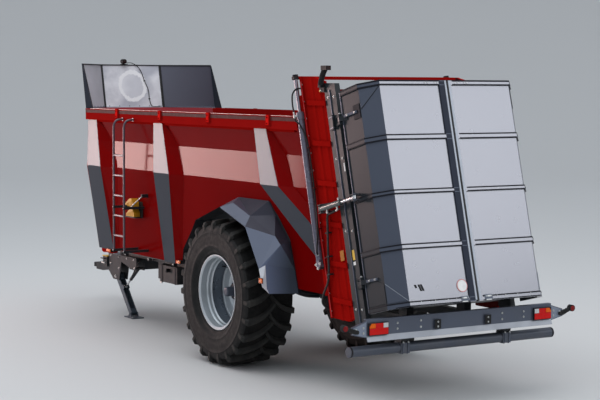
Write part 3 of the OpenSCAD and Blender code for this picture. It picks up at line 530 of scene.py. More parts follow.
# ------------------------------------------------------------ mesh building
class Kit:
    """gathers many small solids into one mesh"""

    def __init__(self, name, body, slot, bevel=0.0025):
        self.name, self.body, self.slot, self.bevel = name, body, slot, bevel
        self.v, self.f, self.mi, self.smooth, self.mats = [], [], [], [], []

    def add(self, verts, faces, mat, smooth=False):
        if mat not in self.mats:
            self.mats.append(mat)
        k = self.mats.index(mat)
        n = len(self.v)
        self.v += [tuple(p) for p in verts]
        for f in faces:
            self.f.append([i + n for i in f])
            self.mi.append(k)
            self.smooth.append(smooth)

    def prism(self, pts, h0, h1, at, mat):
        """outline pts in two numbers, swept from h0 to h1; at(a, b, h) gives the place"""
        n = len(pts)
        area = sum(pts[i][0] * pts[(i + 1) % n][1] - pts[(i + 1) % n][0] * pts[i][1] for i in range(n))
        if area < 0:
            pts = pts[::-1]
        lo = [at(a, b, h0) for a, b in pts]
        hi = [at(a, b, h1) for a, b in pts]
        faces = [list(range(n))[::-1], [i + n for i in range(n)]]
        faces += [[i, (i + 1) % n, (i + 1) % n + n, i + n] for i in range(n)]
        # the sweep may be mirrored: turn the faces out by the signed volume
        vs = lo + hi
        c = sum((Vector(p) for p in vs), Vector()) / len(vs)
        vol = 0.0
        for f in faces:
            for k in range(1, len(f) - 1):
                vol += (Vector(vs[f[0]]) - c).dot((Vector(vs[f[k]]) - c).cross(Vector(vs[f[k + 1]]) - c))
        if vol < 0:
            faces = [f[::-1] for f in faces]
        self.add(vs, faces, mat)

    def box(self, lo, hi, mat, at=Q):
        self.prism([(lo[0], lo[1]), (hi[0], lo[1]), (hi[0], hi[1]), (lo[0], hi[1])], lo[2], hi[2], at, mat)

    def rod(self, p0, p1, r, mat, n=16, r1=None, smooth=True):
        p0, p1 = Vector(p0), Vector(p1)
        d = (p1 - p0).normalized()
        a = d.orthogonal().normalized()
        b = d.cross(a)
        r1 = r if r1 is None else r1
        vs, fs = [], []
        for p, rr in ((p0, r), (p1, r1)):
            vs += [p + rr * (math.cos(2 * math.pi * i / n) * a + math.sin(2 * math.pi * i / n) * b) for i in range(n)]
        fs = [[i, (i + 1) % n, (i + 1) % n + n, i + n] for i in range(n)]
        self.add(vs, fs, mat, smooth)
        self.add(vs, [list(range(n))[::-1], [i + n for i in range(n)]], mat)

    def tube(self, pts, r, mat, n=10, steps=10):
        """round hose or cable through pts, rounded by a Catmull-Rom curve"""
        P = [Vector(p) for p in pts]
        path = []
        for i in range(len(P) - 1):
            a, b, c, d = P[max(i - 1, 0)], P[i], P[i + 1], P[min(i + 2, len(P) - 1)]
            for k in range(steps):
                t = k / steps
                path.append(0.5 * ((2 * b) + (c - a) * t + (2 * a - 5 * b + 4 * c - d) * t * t + (3 * b - 3 * c + d - a) * t ** 3))
        path.append(P[-1])
        vs, up = [], None
        for i, p in enumerate(path):
            d = (path[min(i + 1, len(path) - 1)] - path[max(i - 1, 0)]).normalized()
            up = d.orthogonal().normalized() if up is None else (up - d * up.dot(d)).normalized()
            q = d.cross(up)
            vs += [p + r * (math.cos(2 * math.pi * k / n) * up + math.sin(2 * math.pi * k / n) * q) for k in range(n)]
        m = len(path)
        fs = [[i * n + k, i * n + (k + 1) % n, (i + 1) * n + (k + 1) % n, (i + 1) * n + k] for i in range(m - 1) for k in range(n)]
        self.add(vs, fs, mat, True)
        self.add(vs, [list(range(n))[::-1], [(m - 1) * n + k for k in range(n)]], mat)

    def revolve(self, prof, centre, axis, mat, n=48, smooth=True, closed=False):
        """prof: (radius, distance along axis)"""
        axis = Vector(axis).normalized()
        a = axis.orthogonal().normalized()
        b = axis.cross(a)
        c = Vector(centre)
        vs = [c + axis * h + r * (math.cos(2 * math.pi * i / n) * a + math.sin(2 * math.pi * i / n) * b) for r, h in prof for i in range(n)]
        m = len(prof)
        fs = []
        for j in range(m if closed else m - 1):
            k = (j + 1) % m
            fs += [[j * n + i, j * n + (i + 1) % n, k * n + (i + 1) % n, k * n + i] for i in range(n)]
        self.add(vs, fs, mat, smooth)

    def bolt(self, p, axis, mat, r=0.011, h=0.009, washer=True):
        p, axis = Vector(p), Vector(axis).normalized()
        if washer:
            self.rod(p, p + axis * 0.003, r * 1.45, mat, n=14)
            p = p + axis * 0.003
        self.rod(p, p + axis * h, r, mat, n=6, smooth=False)
        self.rod(p + axis * h, p + axis * (h + 0.005), r * 0.5, mat, n=8)

    def build(self, replaces=None):
        me = bpy.data.meshes.new(self.name)
        me.from_pydata(self.v, [], self.f)
        for m in self.mats:
            me.materials.append(m)
        me.polygons.foreach_set("material_index", self.mi)
        me.polygons.foreach_set("use_smooth", self.smooth)
        me.validate(verbose=False)
        me.update()
        ob = bpy.data.objects.new(self.name, me)
        bpy.context.scene.collection.objects.link(ob)
        if self.bevel:
            b = ob.modifiers.new("edge", "BEVEL")
            b.width = self.bevel
            b.segments = 2
            b.limit_method = "ANGLE"
            b.angle_limit = math.radians(38)
            b.harden_normals = False
        if replaces:
            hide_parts(*replaces)
        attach(ob, self.body)
        return ob


SIDES = (("left", 1), ("right", -1))

# ------------------------------------------------------------------ wheels
WY, AZ = 1.105, 0.962
WIDE = 1.08


def tyre_top(y):
    """outer envelope of the lugs: radius over the distance from the middle plane"""
    tab = [(0.0, 0.9615), (0.15, 0.961), (0.24, 0.955), (0.300, 0.948), (0.313, 0.943), (0.321, 0.905), (0.327, 0.865)]
    y = abs(y)
    for (a, r), (b, q) in zip(tab, tab[1:]):
        if y <= b:
            return r + (q - r) * (y - a) / (b - a)
    return tab[-1][1]


def build_tyre(name, s):
    k = Kit("tyre_" + name + "_with_lugs", "wheel_" + name, "tyre_rubber", bevel=0.004)
    c = Q(0, s * WY, AZ)
    half = [(0.478, 0.249), (0.499, 0.262), (0.515, 0.277), (0.528, 0.2865), (0.540, 0.289), (0.552, 0.2905), (0.575, 0.312), (0.60, 0.3245), (0.615, 0.3295), (0.62, 0.3275),
            (0.66, 0.3335), (0.70, 0.336), (0.74, 0.336), (0.78, 0.334), (0.786, 0.3365), (0.794, 0.3365), (0.80, 0.332), (0.84, 0.326), (0.868, 0.316), (0.884, 0.300), (0.893, 0.275),
            (0.900, 0.23), (0.903, 0.13), (0.904, 0.0)]
    prof = [(r, h * WIDE) for r, h in half] + [(r, -(h * WIDE + (0.07 if r < 0.53 else 0.045 if r < 0.56 else 0.02 if r < 0.58 else 0.0))) for r, h in half[-2::-1]]
    a, b = len(half) - 5, len(prof) - len(half) + 5
    k.revolve(prof[:a + 1], c, (0, 1, 0), M["tyre"], n=112)
    # the tread floor between the lugs in the darker rubber: painted shade
    k.revolve(prof[a:b], c, (0, 1, 0), M["groove"], n=112)
    k.revolve(prof[b - 1:], c, (0, 1, 0), M["tyre"], n=112)
    N = 23
    for side in (1, -1):
        for i in range(N):
            a0 = 2 * math.pi * (i + (0.5 if side < 0 else 0)) / N
            rings = []
            for y in (-0.030, 0.03, 0.10, 0.17, 0.235, 0.285, 0.308, 0.322, 0.333):
                sweep = 0.235 * (1 - math.exp(-max(y + 0.03, 0) / 0.16)) / (1 - math.exp(-0.33 / 0.16)) if y < 0.31 else 0.235
                ang = a0 - s * sweep / 0.93
                yy = side * min(y, 0.329)
                rt = tyre_top(max(y, 0)) if y < 0.33 else 0.815
                rb = min(rt - 0.02, 0.888) if y < 0.3 else rt - 0.038
                wt = 0.024 + 0.010 * max(0.0, min(1.0, y / 0.3))
                wb = wt + 0.016
                if y > 0.32:
                    wt, wb, rb = wt * 0.75, wb * 0.75, rt - 0.03
                ring = []
                for hw, r in ((-wb, rb), (-wt, rt), (wt, rt), (wb, rb)):
                    t = ang + hw / 0.93
                    off = yy if y < 0.3 else side * (0.333 if r == rt and y > 0.32 else min(y, 0.329) - (0.0 if r == rt else 0.012))
                    ring.append(c + Vector((r * math.sin(t), off * WIDE, r * math.cos(t))))
                rings.append(ring)
            vs = [p for r in rings for p in r]
            fs = []
            for j in range(len(rings) - 1):
                for q in range(3):
                    f = [j * 4 + q, j * 4 + q + 1, (j + 1) * 4 + q + 1, (j + 1) * 4 + q]
                    fs.append(f if side > 0 else f[::-1])
            e = (len(rings) - 1) * 4
            fs.append([3, 2, 1, 0] if side > 0 else [0, 1, 2, 3])
            fs.append([e, e + 1, e + 2, e + 3] if side > 0 else [e + 3, e + 2, e + 1, e])
            k.add(vs, fs, M["lug"])
    k.build(replaces=["tyre_" + name])


def build_hub(name, s):
    k = Kit("wheel_" + name + "_hub_fittings", "wheel_" + name, "dark_paint", bevel=0.002)
    ax = Vector((0, s, 0))
    c = Q(0, s * 0.01, AZ)
    # dark hub cover over the cast hub
    k.revolve([(0.122, 1.012), (0.1225, 1.10), (0.119, 1.122), (0.098, 1.1435), (0.085, 1.1465), (0.066, 1.1475)], c, ax, M["hub"], n=40)
    k.revolve([(0.066, 1.1475), (0.0635, 1.150), (0.0633, 1.246), (0.060, 1.254), (0.053, 1.2595), (0.030, 1.2605), (0.0, 1.2608)], c, ax, M["hub_cap"], n=36)
    for i in range(10):
        t = 2 * math.pi * i / 10
        d = Vector((math.sin(t), 0, math.cos(t)))
        p = c + d * 0.192 + ax * 1.010
        k.bolt(p, ax, M["hub"], r=0.0185, h=0.030)
    for i in range(6):
        t = 2 * math.pi * (i + 0.5) / 6
        d = Vector((math.sin(t), 0, math.cos(t)))
        k.bolt(c + d * 0.092 + ax * 1.1435, ax, M["zinc"], r=0.009, h=0.007, washer=False)
    # valve
    k.tube([c + Vector((0.30, 0, 0.28)) + ax * 1.063, c + Vector((0.31, 0, 0.289)) + ax * 1.09, c + Vector((0.318, 0, 0.296)) + ax * 1.14], 0.006, M["black"], n=8)
    # pressed rings on the dish
    for r, h in ((0.262, 1.024), (0.415, 1.0605)):
        k.revolve([(r - 0.009, h - 0.001), (r - 0.005, h + 0.006), (r + 0.005, h + 0.008), (r + 0.009, h + 0.003)], c, ax, M["rim"], n=64)
    k.build()


for name, s in SIDES:
    build_tyre(name, s)
    build_hub(name, s)

# -------------------------------------------------------------- rear doors
RIBS = [(-0.045, 0.015), (0.611, 0.673), (1.252, 1.304), (1.886, 1.950), (2.534, 2.590)]
SKIN = [(0.0, 0.006), (0.0, 0.950), (0.190, 1.122), (0.546, 1.1355)]


def offset_path(path, d):
    """plan path moved outward by d, with mitred corners"""
    out = []
    for i, (u, y) in enumerate(path):
        ns = []
        for a, b in ((i - 1, i), (i, i + 1)):
            if 0 <= a and b < len(path):
                du, dy = path[b][0] - path[a][0], path[b][1] - path[a][1]
                n = math.hypot(du, dy)
                ns.append((-dy / n, du / n))
        nu = sum(v[0] for v in ns) / len(ns)
        ny = sum(v[1] for v in ns) / len(ns)
        k = d / max(0.3, (nu * nu + ny * ny))
        out.append((u + nu * k, y + ny * k))
    return out


def band(kit, path, d0, d1, w0, w1, s, mat):
    a, b = offset_path(path, d0), offset_path(path, d1)
    for i in range(len(path) - 1):
        kit.prism([a[i], a[i + 1], b[i + 1], b[i]], w0, w1, lambda u, y, w: L(u, s * y, w), mat)


def lay(kit, pts, t, s, mat, lift=0.0):
    """flat plate on the plane through pts (given as u, y, w), t thick, outward"""
    P = [L(u, s * y, w) for u, y, w in pts]
    n = (P[1] - P[0]).cross(P[2] - P[0]).normalized()
    mid = L(0.45, 0, 1.2)
    if n.dot(P[0] - mid) < 0:
        n = -n
    lo = [p + n * lift for p in P]
    hi = [p + n * (lift + t) for p in P]
    m = len(P)
    faces = [list(range(m)), [i + m for i in range(m)][::-1]] + [[i, (i + 1) % m + 0, (i + 1) % m + m, i + m] for i in range(m)]
    c = sum(lo + hi, Vector()) / (2 * m)
    vs = lo + hi
    vol = 0.0
    for f in faces:
        for j in range(1, len(f) - 1):
            vol += (vs[f[0]] - c).dot((vs[f[j]] - c).cross(vs[f[j + 1]] - c))
    fixed = []
    for f in faces:
        fc = sum((vs[i] for i in f), Vector()) / len(f)
        nn = (vs[f[1]] - vs[f[0]]).cross(vs[f[2]] - vs[f[1]])
        fixed.append(f if nn.dot(fc - c) > 0 else f[::-1])
    kit.add(vs, fixed, mat)


def build_door(name, s):
    k = Kit("door_" + name + "_trim", "door_" + name, "grey_paint", bevel=0.0015)
    at = lambda u, y, w: L(u, s * y, w)
    # dark rounded borders of each rib band: painted shadow lines along the top and bottom of each rib
    path = [(0.0, 0.106 if s > 0 else 0.088)] + SKIN[1:]
    for lo, hi in RIBS:
        t = 0.014 if hi - lo < 0.07 else 0.017
        for a, b in ((lo - 0.002, lo + t), (hi - t, hi + 0.002)):
            a, b = max(a, -0.0445), min(b, 2.5895)
            band(k, path, 0.0003, 0.0165 if a > -0.03 else 0.0142, a, b, s, M["line"])
    # cap over the top edge
    band(k, SKIN, -0.04, 0.0170, 2.5905, 2.596, s, M["line"])
    # corner gussets in the chamfer's darker paint, which is painted shade; below them a plate on the side face in the
    # side's painted-shade paint
    lay(k, [(0.004, 0.954, 2.525), (0.186, 1.1185, 2.525), (0.186, 1.1185, 2.30)], 0.005, s, M["door_chamfer"], 0.0004)
    lay(k, [(0.000, 0.951, 2.532), (0.004, 0.955, 2.532), (0.190, 1.122, 2.298), (0.186, 1.118, 2.291)], 0.0065, s, M["seam"], 0.0004)
    lay(k, [(0.004, 0.954, 0.03), (0.186, 1.1185, 0.03), (0.186, 1.1185, 0.245)], 0.005, s, M["door_chamfer"], 0.0004)
    lay(k, [(0.000, 0.951, 0.018), (0.004, 0.955, 0.030), (0.190, 1.122, 0.258), (0.186, 1.118, 0.246)], 0.0065, s, M["edge"], 0.0004)
    lay(k, [(0.20, 1.1224, 0.03), (0.535, 1.1351, 0.03), (0.535, 1.1351, 0.30), (0.36, 1.1284, 0.318), (0.20, 1.1224, 0.258)], 0.005, s, M["door_side"], 0.0004)
    # hinge arms laid on the side
    for w, u0 in ((2.285, 0.262), (0.330, 0.30)):
        k.prism([(u0, 1.126), (0.49, 1.136), (0.49, 1.168), (u0 + 0.012, 1.148), (u0, 1.140)], w - 0.015, w + 0.015, at, M["bar"])
        for u in (u0 + 0.03, 0.43):
            k.bolt(at(u, 1.1495 if u < 0.35 else 1.1625, w), (0, s, 0), M["zinc"], r=0.009)
    lay(k, [(0.205, 1.1226, 2.20), (0.335, 1.1275, 2.20), (0.335, 1.1275, 2.37), (0.205, 1.1226, 2.37)], 0.007, s, M["line"], 0.0004)
    # folded edge beside the hinge
    k.prism([(0.546, 1.1352), (0.5595, 1.1358), (0.5595, 1.146), (0.546, 1.146)], -0.03, 2.585, at, M["bar"])
    # meeting edges: a dark strip painted as the shade of a sunk channel, a light lip, a dark rebate opposite
    if s > 0:
        k.prism([(-0.0150, 0.026), (-0.0150, 0.106), (0.002, 0.108), (0.002, 0.024)], -0.0420, 2.5895, at, M["strip"])
        k.prism([(-0.0185, 0.0008), (-0.0185, 0.024), (0.002, 0.026), (0.002, 0.0008)], -0.0280, 2.5895, at, M["edge"])
        for lo, hi in RIBS:
            for w in (max(lo - 0.002, -0.04), hi - 0.010):
                k.prism([(-0.0162, 0.028), (-0.0162, 0.104), (-0.0150, 0.104), (-0.0150, 0.028)], w, w + 0.008, at, M["bar"])
    else:
        k.prism([(-0.0150, 0.0008), (-0.0150, 0.030), (0.002, 0.030), (0.002, 0.0008)], -0.0420, 2.5895, at, M["seam"])
        k.prism([(-0.0170, 0.0305), (-0.0170, 0.064), (0.002, 0.066), (0.002, 0.0305)], -0.0340, 2.5895, at, M["edge"])
    k.prism([(0.004, 0.0005), (0.004, 0.006), (0.036, 0.006), (0.036, 0.0005)], -0.04, 2.588, at, M["rubber"])
    # latches at the foot
    y = 0.175
    k.prism([(-0.0145, y - 0.065), (-0.0145, y + 0.055), (-0.0175, y + 0.050), (-0.0175, y - 0.060)], -0.030, 0.026, at, M["bar"])
    k.prism([(-0.0140, y - 0.042), (-0.0140, y + 0.042), (-0.0162, y + 0.036), (-0.0162, y - 0.036)], -0.042, -0.028, at, M["zinc"])
    k.prism([(-0.0176, y - 0.030), (-0.0176, y + 0.030), (-0.0245, y + 0.024), (-0.0245, y - 0.024)], -0.004, 0.014, at, M["zinc"])
    for yy in (y - 0.045, y + 0.035):
        k.bolt(at(-0.0175, yy, 0.004), (-CA, 0, SA), M["zinc"], r=0.007, h=0.004, washer=False)
    for yy in (0.30, 0.42, 0.60, 0.80):
        k.bolt(at(-0.0165, yy, 0.002), (-CA, 0, SA), M["zinc"], r=0.006, h=0.004, washer=False)
    # bump stop near the outer foot corner
    if s > 0:
        for y_, n in ((0.845, 0.5), (0.795, 1.0), (0.762, 1.0)):
            k.prism([(y_ - 0.010, 0.20), (y_ + 0.010, 0.20), (y_ + 0.010 - 0.03 * n, 0.20 - 0.075 * n), (y_ - 0.010 - 0.03 * n, 0.20 - 0.075 * n)], 0.0, 0.007, lambda a_, w_, h: L(-h, s * a_, w_), M["rubber"])
    # screws on the top band, near the meeting edge
    for yy in (0.13, 0.17, 0.27, 0.31):
        k.bolt(at(-0.0143, yy, 2.562), (-CA, 0, SA), M["zinc"], r=0.009, h=0.004, washer=False)
    # hinge pin heads
    for w in (0.330, 2.270):
        k.bolt(at(0.600, 1.150, w + 0.064), (SA, 0, CA), M["zinc"], r=0.014, h=0.008)
    # inner stiffeners, seen when the door is open
    for w in (0.64, 1.28, 1.92):
        k.prism([(0.0405, 0.05), (0.0405, 0.925), (0.072, 0.90), (0.072, 0.07)], w - 0.02, w + 0.02, at, M["silver"])
    if s > 0:
        # blank round plate
        prof = [(0.0, 0.004), (0.066, 0.004), (0.068, 0.006), (0.074, 0.006), (0.076, 0.004), (0.076, 0.0)]
        c = at(-0.0005, 0.183, 0.150)
        k.revolve([(0.066, 0.0052), (0.068, 0.0075), (0.074, 0.0075), (0.076, 0.005), (0.076, 0.0)], c, (-CA, 0, SA), M["rim_pink"], n=40, smooth=False)
        k.revolve([(0.0, 0.005), (0.067, 0.005)], c, (-CA, 0, SA), M["white"], n=40, smooth=False)
    k.build()


for name, s in SIDES:
    build_door(name, s)


# ------------------------------------------------- adapter, posts, stalk lamps
def build_rear_trim(name, s):
    k = Kit("rear_end_" + name + "_fittings", "frame", "dark_paint", bevel=0.002)
    at = lambda u, y, w: L(u, s * y, w)
    # upright fold on the post, in the lighter bar paint as a painted highlight
    k.prism([(0.792, 1.1095), (0.806, 1.1095), (0.804, 1.123), (0.795, 1.123)], -0.22, 2.68, at, M["bar"])
    # block behind the upper hinge
    k.prism([(0.770, 1.1098), (0.862, 1.1098), (0.862, 1.132), (0.770, 1.146)], 2.195, 2.365, at, M["post"])
    for w in (2.215, 2.345):
        k.prism([(0.768, 1.125), (0.864, 1.118), (0.864, 1.136), (0.768, 1.150)], w - 0.006, w + 0.006, at, M["bar"])
    for u, w in ((0.853, 1.85), (0.72, 1.83), (0.853, 0.98), (0.72, 0.96), (0.853, 2.60), (0.73, 2.58), (0.86, 0.05), (0.73, 0.03)):
        k.bolt(at(u, 1.1099, w), (0, s, 0), M["zinc"], r=0.010, h=0.007)
    # labels without writing
    if s > 0:
        k.prism([(0.960, 1.1255), (1.040, 1.1255), (1.040, 1.127), (0.960, 1.127)], 0.648, 0.771, lambda u, y, w: L(u, s * (y - 0.014), w), M["label_orange"])
        k.prism([(0.735, 1.1105), (0.785, 1.1105), (0.785, 1.112), (0.735, 1.112)], 0.62, 0.74, at, M["label_yellow"])
        k.prism([(0.735, 1.1105), (0.785, 1.1105), (0.785, 1.112), (0.735, 1.112)], 0.56, 0.60, at, M["white"])
        k.prism([(0.69, 1.1105), (0.712, 1.1105), (0.712, 1.112), (0.69, 1.112)], 1.67, 1.77, at, M["white"])
    # bolts along the front flange
    for i in range(14):
        w = 0.10 + i * 0.215
        k.bolt(at(1.3795, 1.118, w), (-CA, 0, SA), M["zinc"], r=0.008, h=0.006)
    # painted highlight along the flange: a strip of lighter red
    k.prism([(1.362, 1.1305), (1.3795, 1.1305), (1.3795, 1.1345), (1.362, 1.1345)], 0.03, 2.93, at, M["red_fold"])
    # cylinder foot
    for du, dw in ((0.035, 0.06), (-0.05, 0.06), (0.0, 0.01)):
        k.bolt(at(1.447 + du, 1.1832, 0.62 + dw), (0, s, 0), M["zinc"], r=0.012, h=0.01)
    k.prism([(1.405, 1.105), (1.49, 1.105), (1.49, 1.182), (1.405, 1.182)], 0.622, 0.637, at, M["post"])
    # fittings and hoses of the gate cylinder
    k.rod(at(1.447, 1.160, 2.51), at(1.470, 1.225, 2.52), 0.015, M["zinc"], n=12)
    k.rod(at(1.470, 1.225, 2.49), at(1.470, 1.225, 2.57), 0.012, M["zinc"], n=12)
    k.tube([at(1.470, 1.225, 2.57), at(1.475, 1.229, 2.66), at(1.462, 1.222, 2.78), at(1.43, 1.19, 2.84), at(1.40, 1.15, 2.85), at(1.385, 1.118, 2.84)], 0.010, M["hose"], n=10)
    k.rod(at(1.447, 1.160, 0.79), at(1.40, 1.196, 0.79), 0.014, M["zinc"], n=12)
    k.tube([at(1.40, 1.196, 0.79), at(1.38, 1.215, 0.84), at(1.366, 1.19, 1.0), at(1.362, 1.165, 1.2), at(1.362, 1.150, 1.5), at(1.362, 1.146, 1.9), at(1.375, 1.155, 2.22), at(1.425, 1.195, 2.40), at(1.466, 1.222, 2.46), at(1.470, 1.225, 2.50)], 0.010, M["hose"], n=10)
    # clips in the same darker red that serves as painted shade beside the flange
    for w in (1.1, 1.6, 2.1):
        k.box((1.345, 1.1285, w - 0.008), (1.379, 1.160, w + 0.008), M["red_inside"], at=at)
    # two hoses run down the outside from the ram to the frame, held by clips
    for du, dy in ((0.0, 0.0), (-0.022, 0.004)):
        k.tube([at(1.075 + du, 1.186, 1.222), at(1.105 + du, 1.176 + dy, 1.222), at(1.146 + du, 1.162 + dy, 1.180), at(1.178 + du, 1.156 + dy, 1.060), at(1.215 + du, 1.154 + dy, 0.900), at(1.247 + du, 1.154 + dy, 0.740),
                at(1.275 + du, 1.154 + dy, 0.575), at(1.322 + du, 1.156 + dy, 0.447), at(1.396 + du, 1.160 + dy, 0.365), at(1.475 + du, 1.158 + dy, 0.286), at(1.515 + du, 1.140 + dy, 0.205), at(1.520 + du, 1.06, 0.135), at(1.515 + du, 0.96, 0.11)], 0.0105, M["hose"], n=10, steps=6)
    for u, w in ((1.193, 1.02), (1.238, 0.74), (1.27, 0.53)):
        k.box((u - 0.036, 1.112, w - 0.009), (u + 0.024, 1.170, w + 0.009), M["black"], at=at)
    if s > 0:
        # stalk lamp: rubber arm with a black lamp head, on the left post only
        foot = Q(-2.105, 1.128, 3.655)
        k.box((-2.16, 1.101, 3.60), (-2.05, 1.128, 3.675), M["black"])
        k.box((-2.13, 1.12, 3.655), (-2.075, 1.165, 3.70), M["black"])
        path = [Q(-2.103, 1.145, 3.69), Q(-2.128, 1.147, 3.76), Q(-2.168, 1.149, 3.83), Q(-2.205, 1.150, 3.875)]
        for p0, p1 in zip(path, path[1:]):
            k.rod(p0, p1, 0.031, M["rubber"], n=14, r1=0.028)
            d = (p1 - p0).normalized()
            for t in (0.2, 0.5, 0.8):
                c = p0 + (p1 - p0) * t
                k.rod(c - d * 0.006, c + d * 0.006, 0.035, M["rubber"], n=14)
        k.box((-2.290, 1.118, 3.864), (-2.165, 1.184, 3.918), M["black"])
        k.box((-2.295, 1.124, 3.870), (-2.289, 1.178, 3.912), M["smoked"])
        k.box((-2.166, 1.124, 3.870), (-2.160, 1.178, 3.912), M["smoked"])
        k.bolt(Q(-2.09, 1.128, 3.62), (0, 1, 0), M["zinc"], r=0.008, h=0.006)
        k.rod(Q(-2.07, 1.10, 3.615), Q(-2.07, 1.135, 3.615), 0.013, M["label_yellow"], n=12)
    # closing sheet and pale edge on top of the posts
    k.prism([(0.69, 1.03), (0.915, 1.03), (0.915, 1.109), (0.69, 1.109)], 2.7105, 2.717, lambda u, y, w: at(u, y, w - (0.80 - u) * SA / CA), M["edge"])
    k.build()
    # ports and the short hose under the door ram
    k = Kit("door_ram_" + name + "_ports", "ram_barrel_" + name, "bare_steel", bevel=0.0015)
    for u in (0.835, 1.060):
        k.rod(at(u, 1.2, 1.2765), at(u, 1.2, 1.246), 0.013, M["zinc"], n=12)
        k.rod(at(u, 1.2, 1.250), at(u, 1.2, 1.232), 0.017, M["zinc"], n=6, smooth=False)
    k.rod(at(0.835, 1.2, 1.240), at(0.868, 1.2, 1.232), 0.012, M["zinc"], n=12)
    k.tube([at(0.862, 1.2, 1.233), at(0.93, 1.202, 1.224), at(1.00, 1.202, 1.221), at(1.052, 1.196, 1.221)], 0.0095, M["hose"], n=10)
    k.rod(at(0.79, 1.2, 1.3445), at(0.79, 1.2, 1.372), 0.012, M["zinc"], n=12)
    k.build()


for name, s in SIDES:
    build_rear_trim(name, s)

# sleeves on the ends of the gate's cross bar and ribs on its plate
k = Kit("gate_sleeves_and_ribs", "gate", "dark_paint", bevel=0.003)
for s in (1, -1):
    at = lambda u, y, w: L(u, s * y, w)
    k.prism([(1.419, 1.125), (1.475, 1.125), (1.475, 1.192), (1.419, 1.192)], 2.972, 3.0125, at, M["black"])
    k.bolt(at(1.447, 1.153, 3.031), (SA, 0, CA), M["zinc"], r=0.014, h=0.006, washer=False)
    for y in (0.3, 0.7):
        k.prism([(1.4315, y - 0.02), (1.4315, y + 0.02), (1.405, y + 0.014), (1.405, y - 0.014)], 0.35, 2.80, at, M["red_adapter"])
for w in (0.9, 1.5, 2.1, 2.7):
    k.prism([(1.4318, -1.03), (1.4318, 1.03), (1.409, 1.02), (1.409, -1.02)], w - 0.02, w + 0.02, L, M["red_adapter"])
k.build()

# --------------------------------------------------------- box side details
FLOOR_Z, CREASE, RAIL = 1.120, 2.420, 3.132


def face_y(z):
    return 0.982 + 0.198 * (z - FLOOR_Z) / (CREASE - FLOOR_Z) if z < CREASE else 1.180 - 0.020 * (z - CREASE) / (RAIL - CREASE)


STRIPES = {
    "front": [(1.120, 4.600, 4.060), (2.420, 4.600, 4.110), (3.128, 4.600, 4.284)],
    "mid": [(1.120, 2.340, 1.990), (2.420, 2.300, 1.810), (3.128, 2.339, 2.054)],
    "rear": [(1.50, -2.02, -2.22), (1.790, -1.600, -2.12), (2.020, -1.285, -1.833), (2.420, -0.740, -1.190), (3.128, -0.541, -0.848)],
}


def plate(kit, quad, t, mat, s=1):
    """thin plate on the left or right side: quad of (x, y, z)"""
    P = [Q(x, s * y, z) for x, y, z in quad]
    n = (P[1] - P[0]).cross(P[2] - P[0]).normalized()
    if n.y * s < 0:
        n = -n
    lo = [p + n * 0.0004 for p in P]
    hi = [p + n * t for p in P]
    m = len(P)
    vs = lo + hi
    c = sum(vs, Vector()) / (2 * m)
    faces = [list(range(m)), [i + m for i in range(m)]] + [[i, (i + 1) % m, (i + 1) % m + m, i + m] for i in range(m)]
    out = []
    for f in faces:
        fc = sum((vs[i] for i in f), Vector()) / len(f)
        nn = (vs[f[1]] - vs[f[0]]).cross(vs[f[2]] - vs[f[1]])
        out.append(f if nn.dot(fc - c) > 0 else f[::-1])
    kit.add(vs, out, mat)


def build_side(name, s):
    k = Kit("side_stripes_" + name, "frame", "grey_paint", bevel=0.0012)
    for rows in STRIPES.values():
        for (z0, f0, r0), (z1, f1, r1) in zip(rows, rows[1:]):
            e = 0.006
            # stripes in the lighter grey above the crease and in the darker copy below it: painted light and shade
            plate(k, [(f0 - e, face_y(z0), z0), (f1 - e, face_y(z1), z1), (r1 + e, face_y(z1), z1), (r0 + e, face_y(z0), z0)], 0.0025, M["stripe"] if z0 > 2.4 else M["stripe_low"], s)
    k.build()

    k = Kit("side_rail_trim_" + name, "frame", "dark_paint", bevel=0.001)
    at = lambda x, y, z: Q(x, s * y, z)
    # dark brownish band on the rail's upper half: painted shade of the rail's channel
    k.box((-1.66, 1.1862, 3.238), (4.638, 1.1895, 3.287), M["rail_band"], at=at)
    # thin strip along the top edge of the rail: pale zinc on the left as a painted highlight, black on the right
    k.box((-1.66, 1.1845, 3.3002), (4.45, 1.1925, 3.304), M["zinc"] if s > 0 else M["seam"], at=at)
    # heads of the stake pockets with their pins
    for x in (3.48, 2.06, 0.62, -0.96):
        k.box((x - 0.034, 1.2082, 3.18), (x + 0.034, 1.2125, 3.30), M["red_bright"], at=at)
        k.bolt(at(x, 1.2125, 3.275), (0, s, 0), M["red_rail"], r=0.008, h=0.006)
        k.bolt(at(x, 1.2125, 3.20), (0, s, 0), M["red_rail"], r=0.008, h=0.006)
    k.build()


for name, s in SIDES:
    build_side(name, s)

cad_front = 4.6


def panel_y(z):
    if z < CREASE:
        return 0.925 + 0.145 * (z - FLOOR_Z) / (CREASE - FLOOR_Z)
    if z < 2.815:
        return 1.070 - 0.015 * (z - CREASE) / 0.395
    return 1.055 + 0.070 * (z - 2.815) / (RAIL - 2.815)


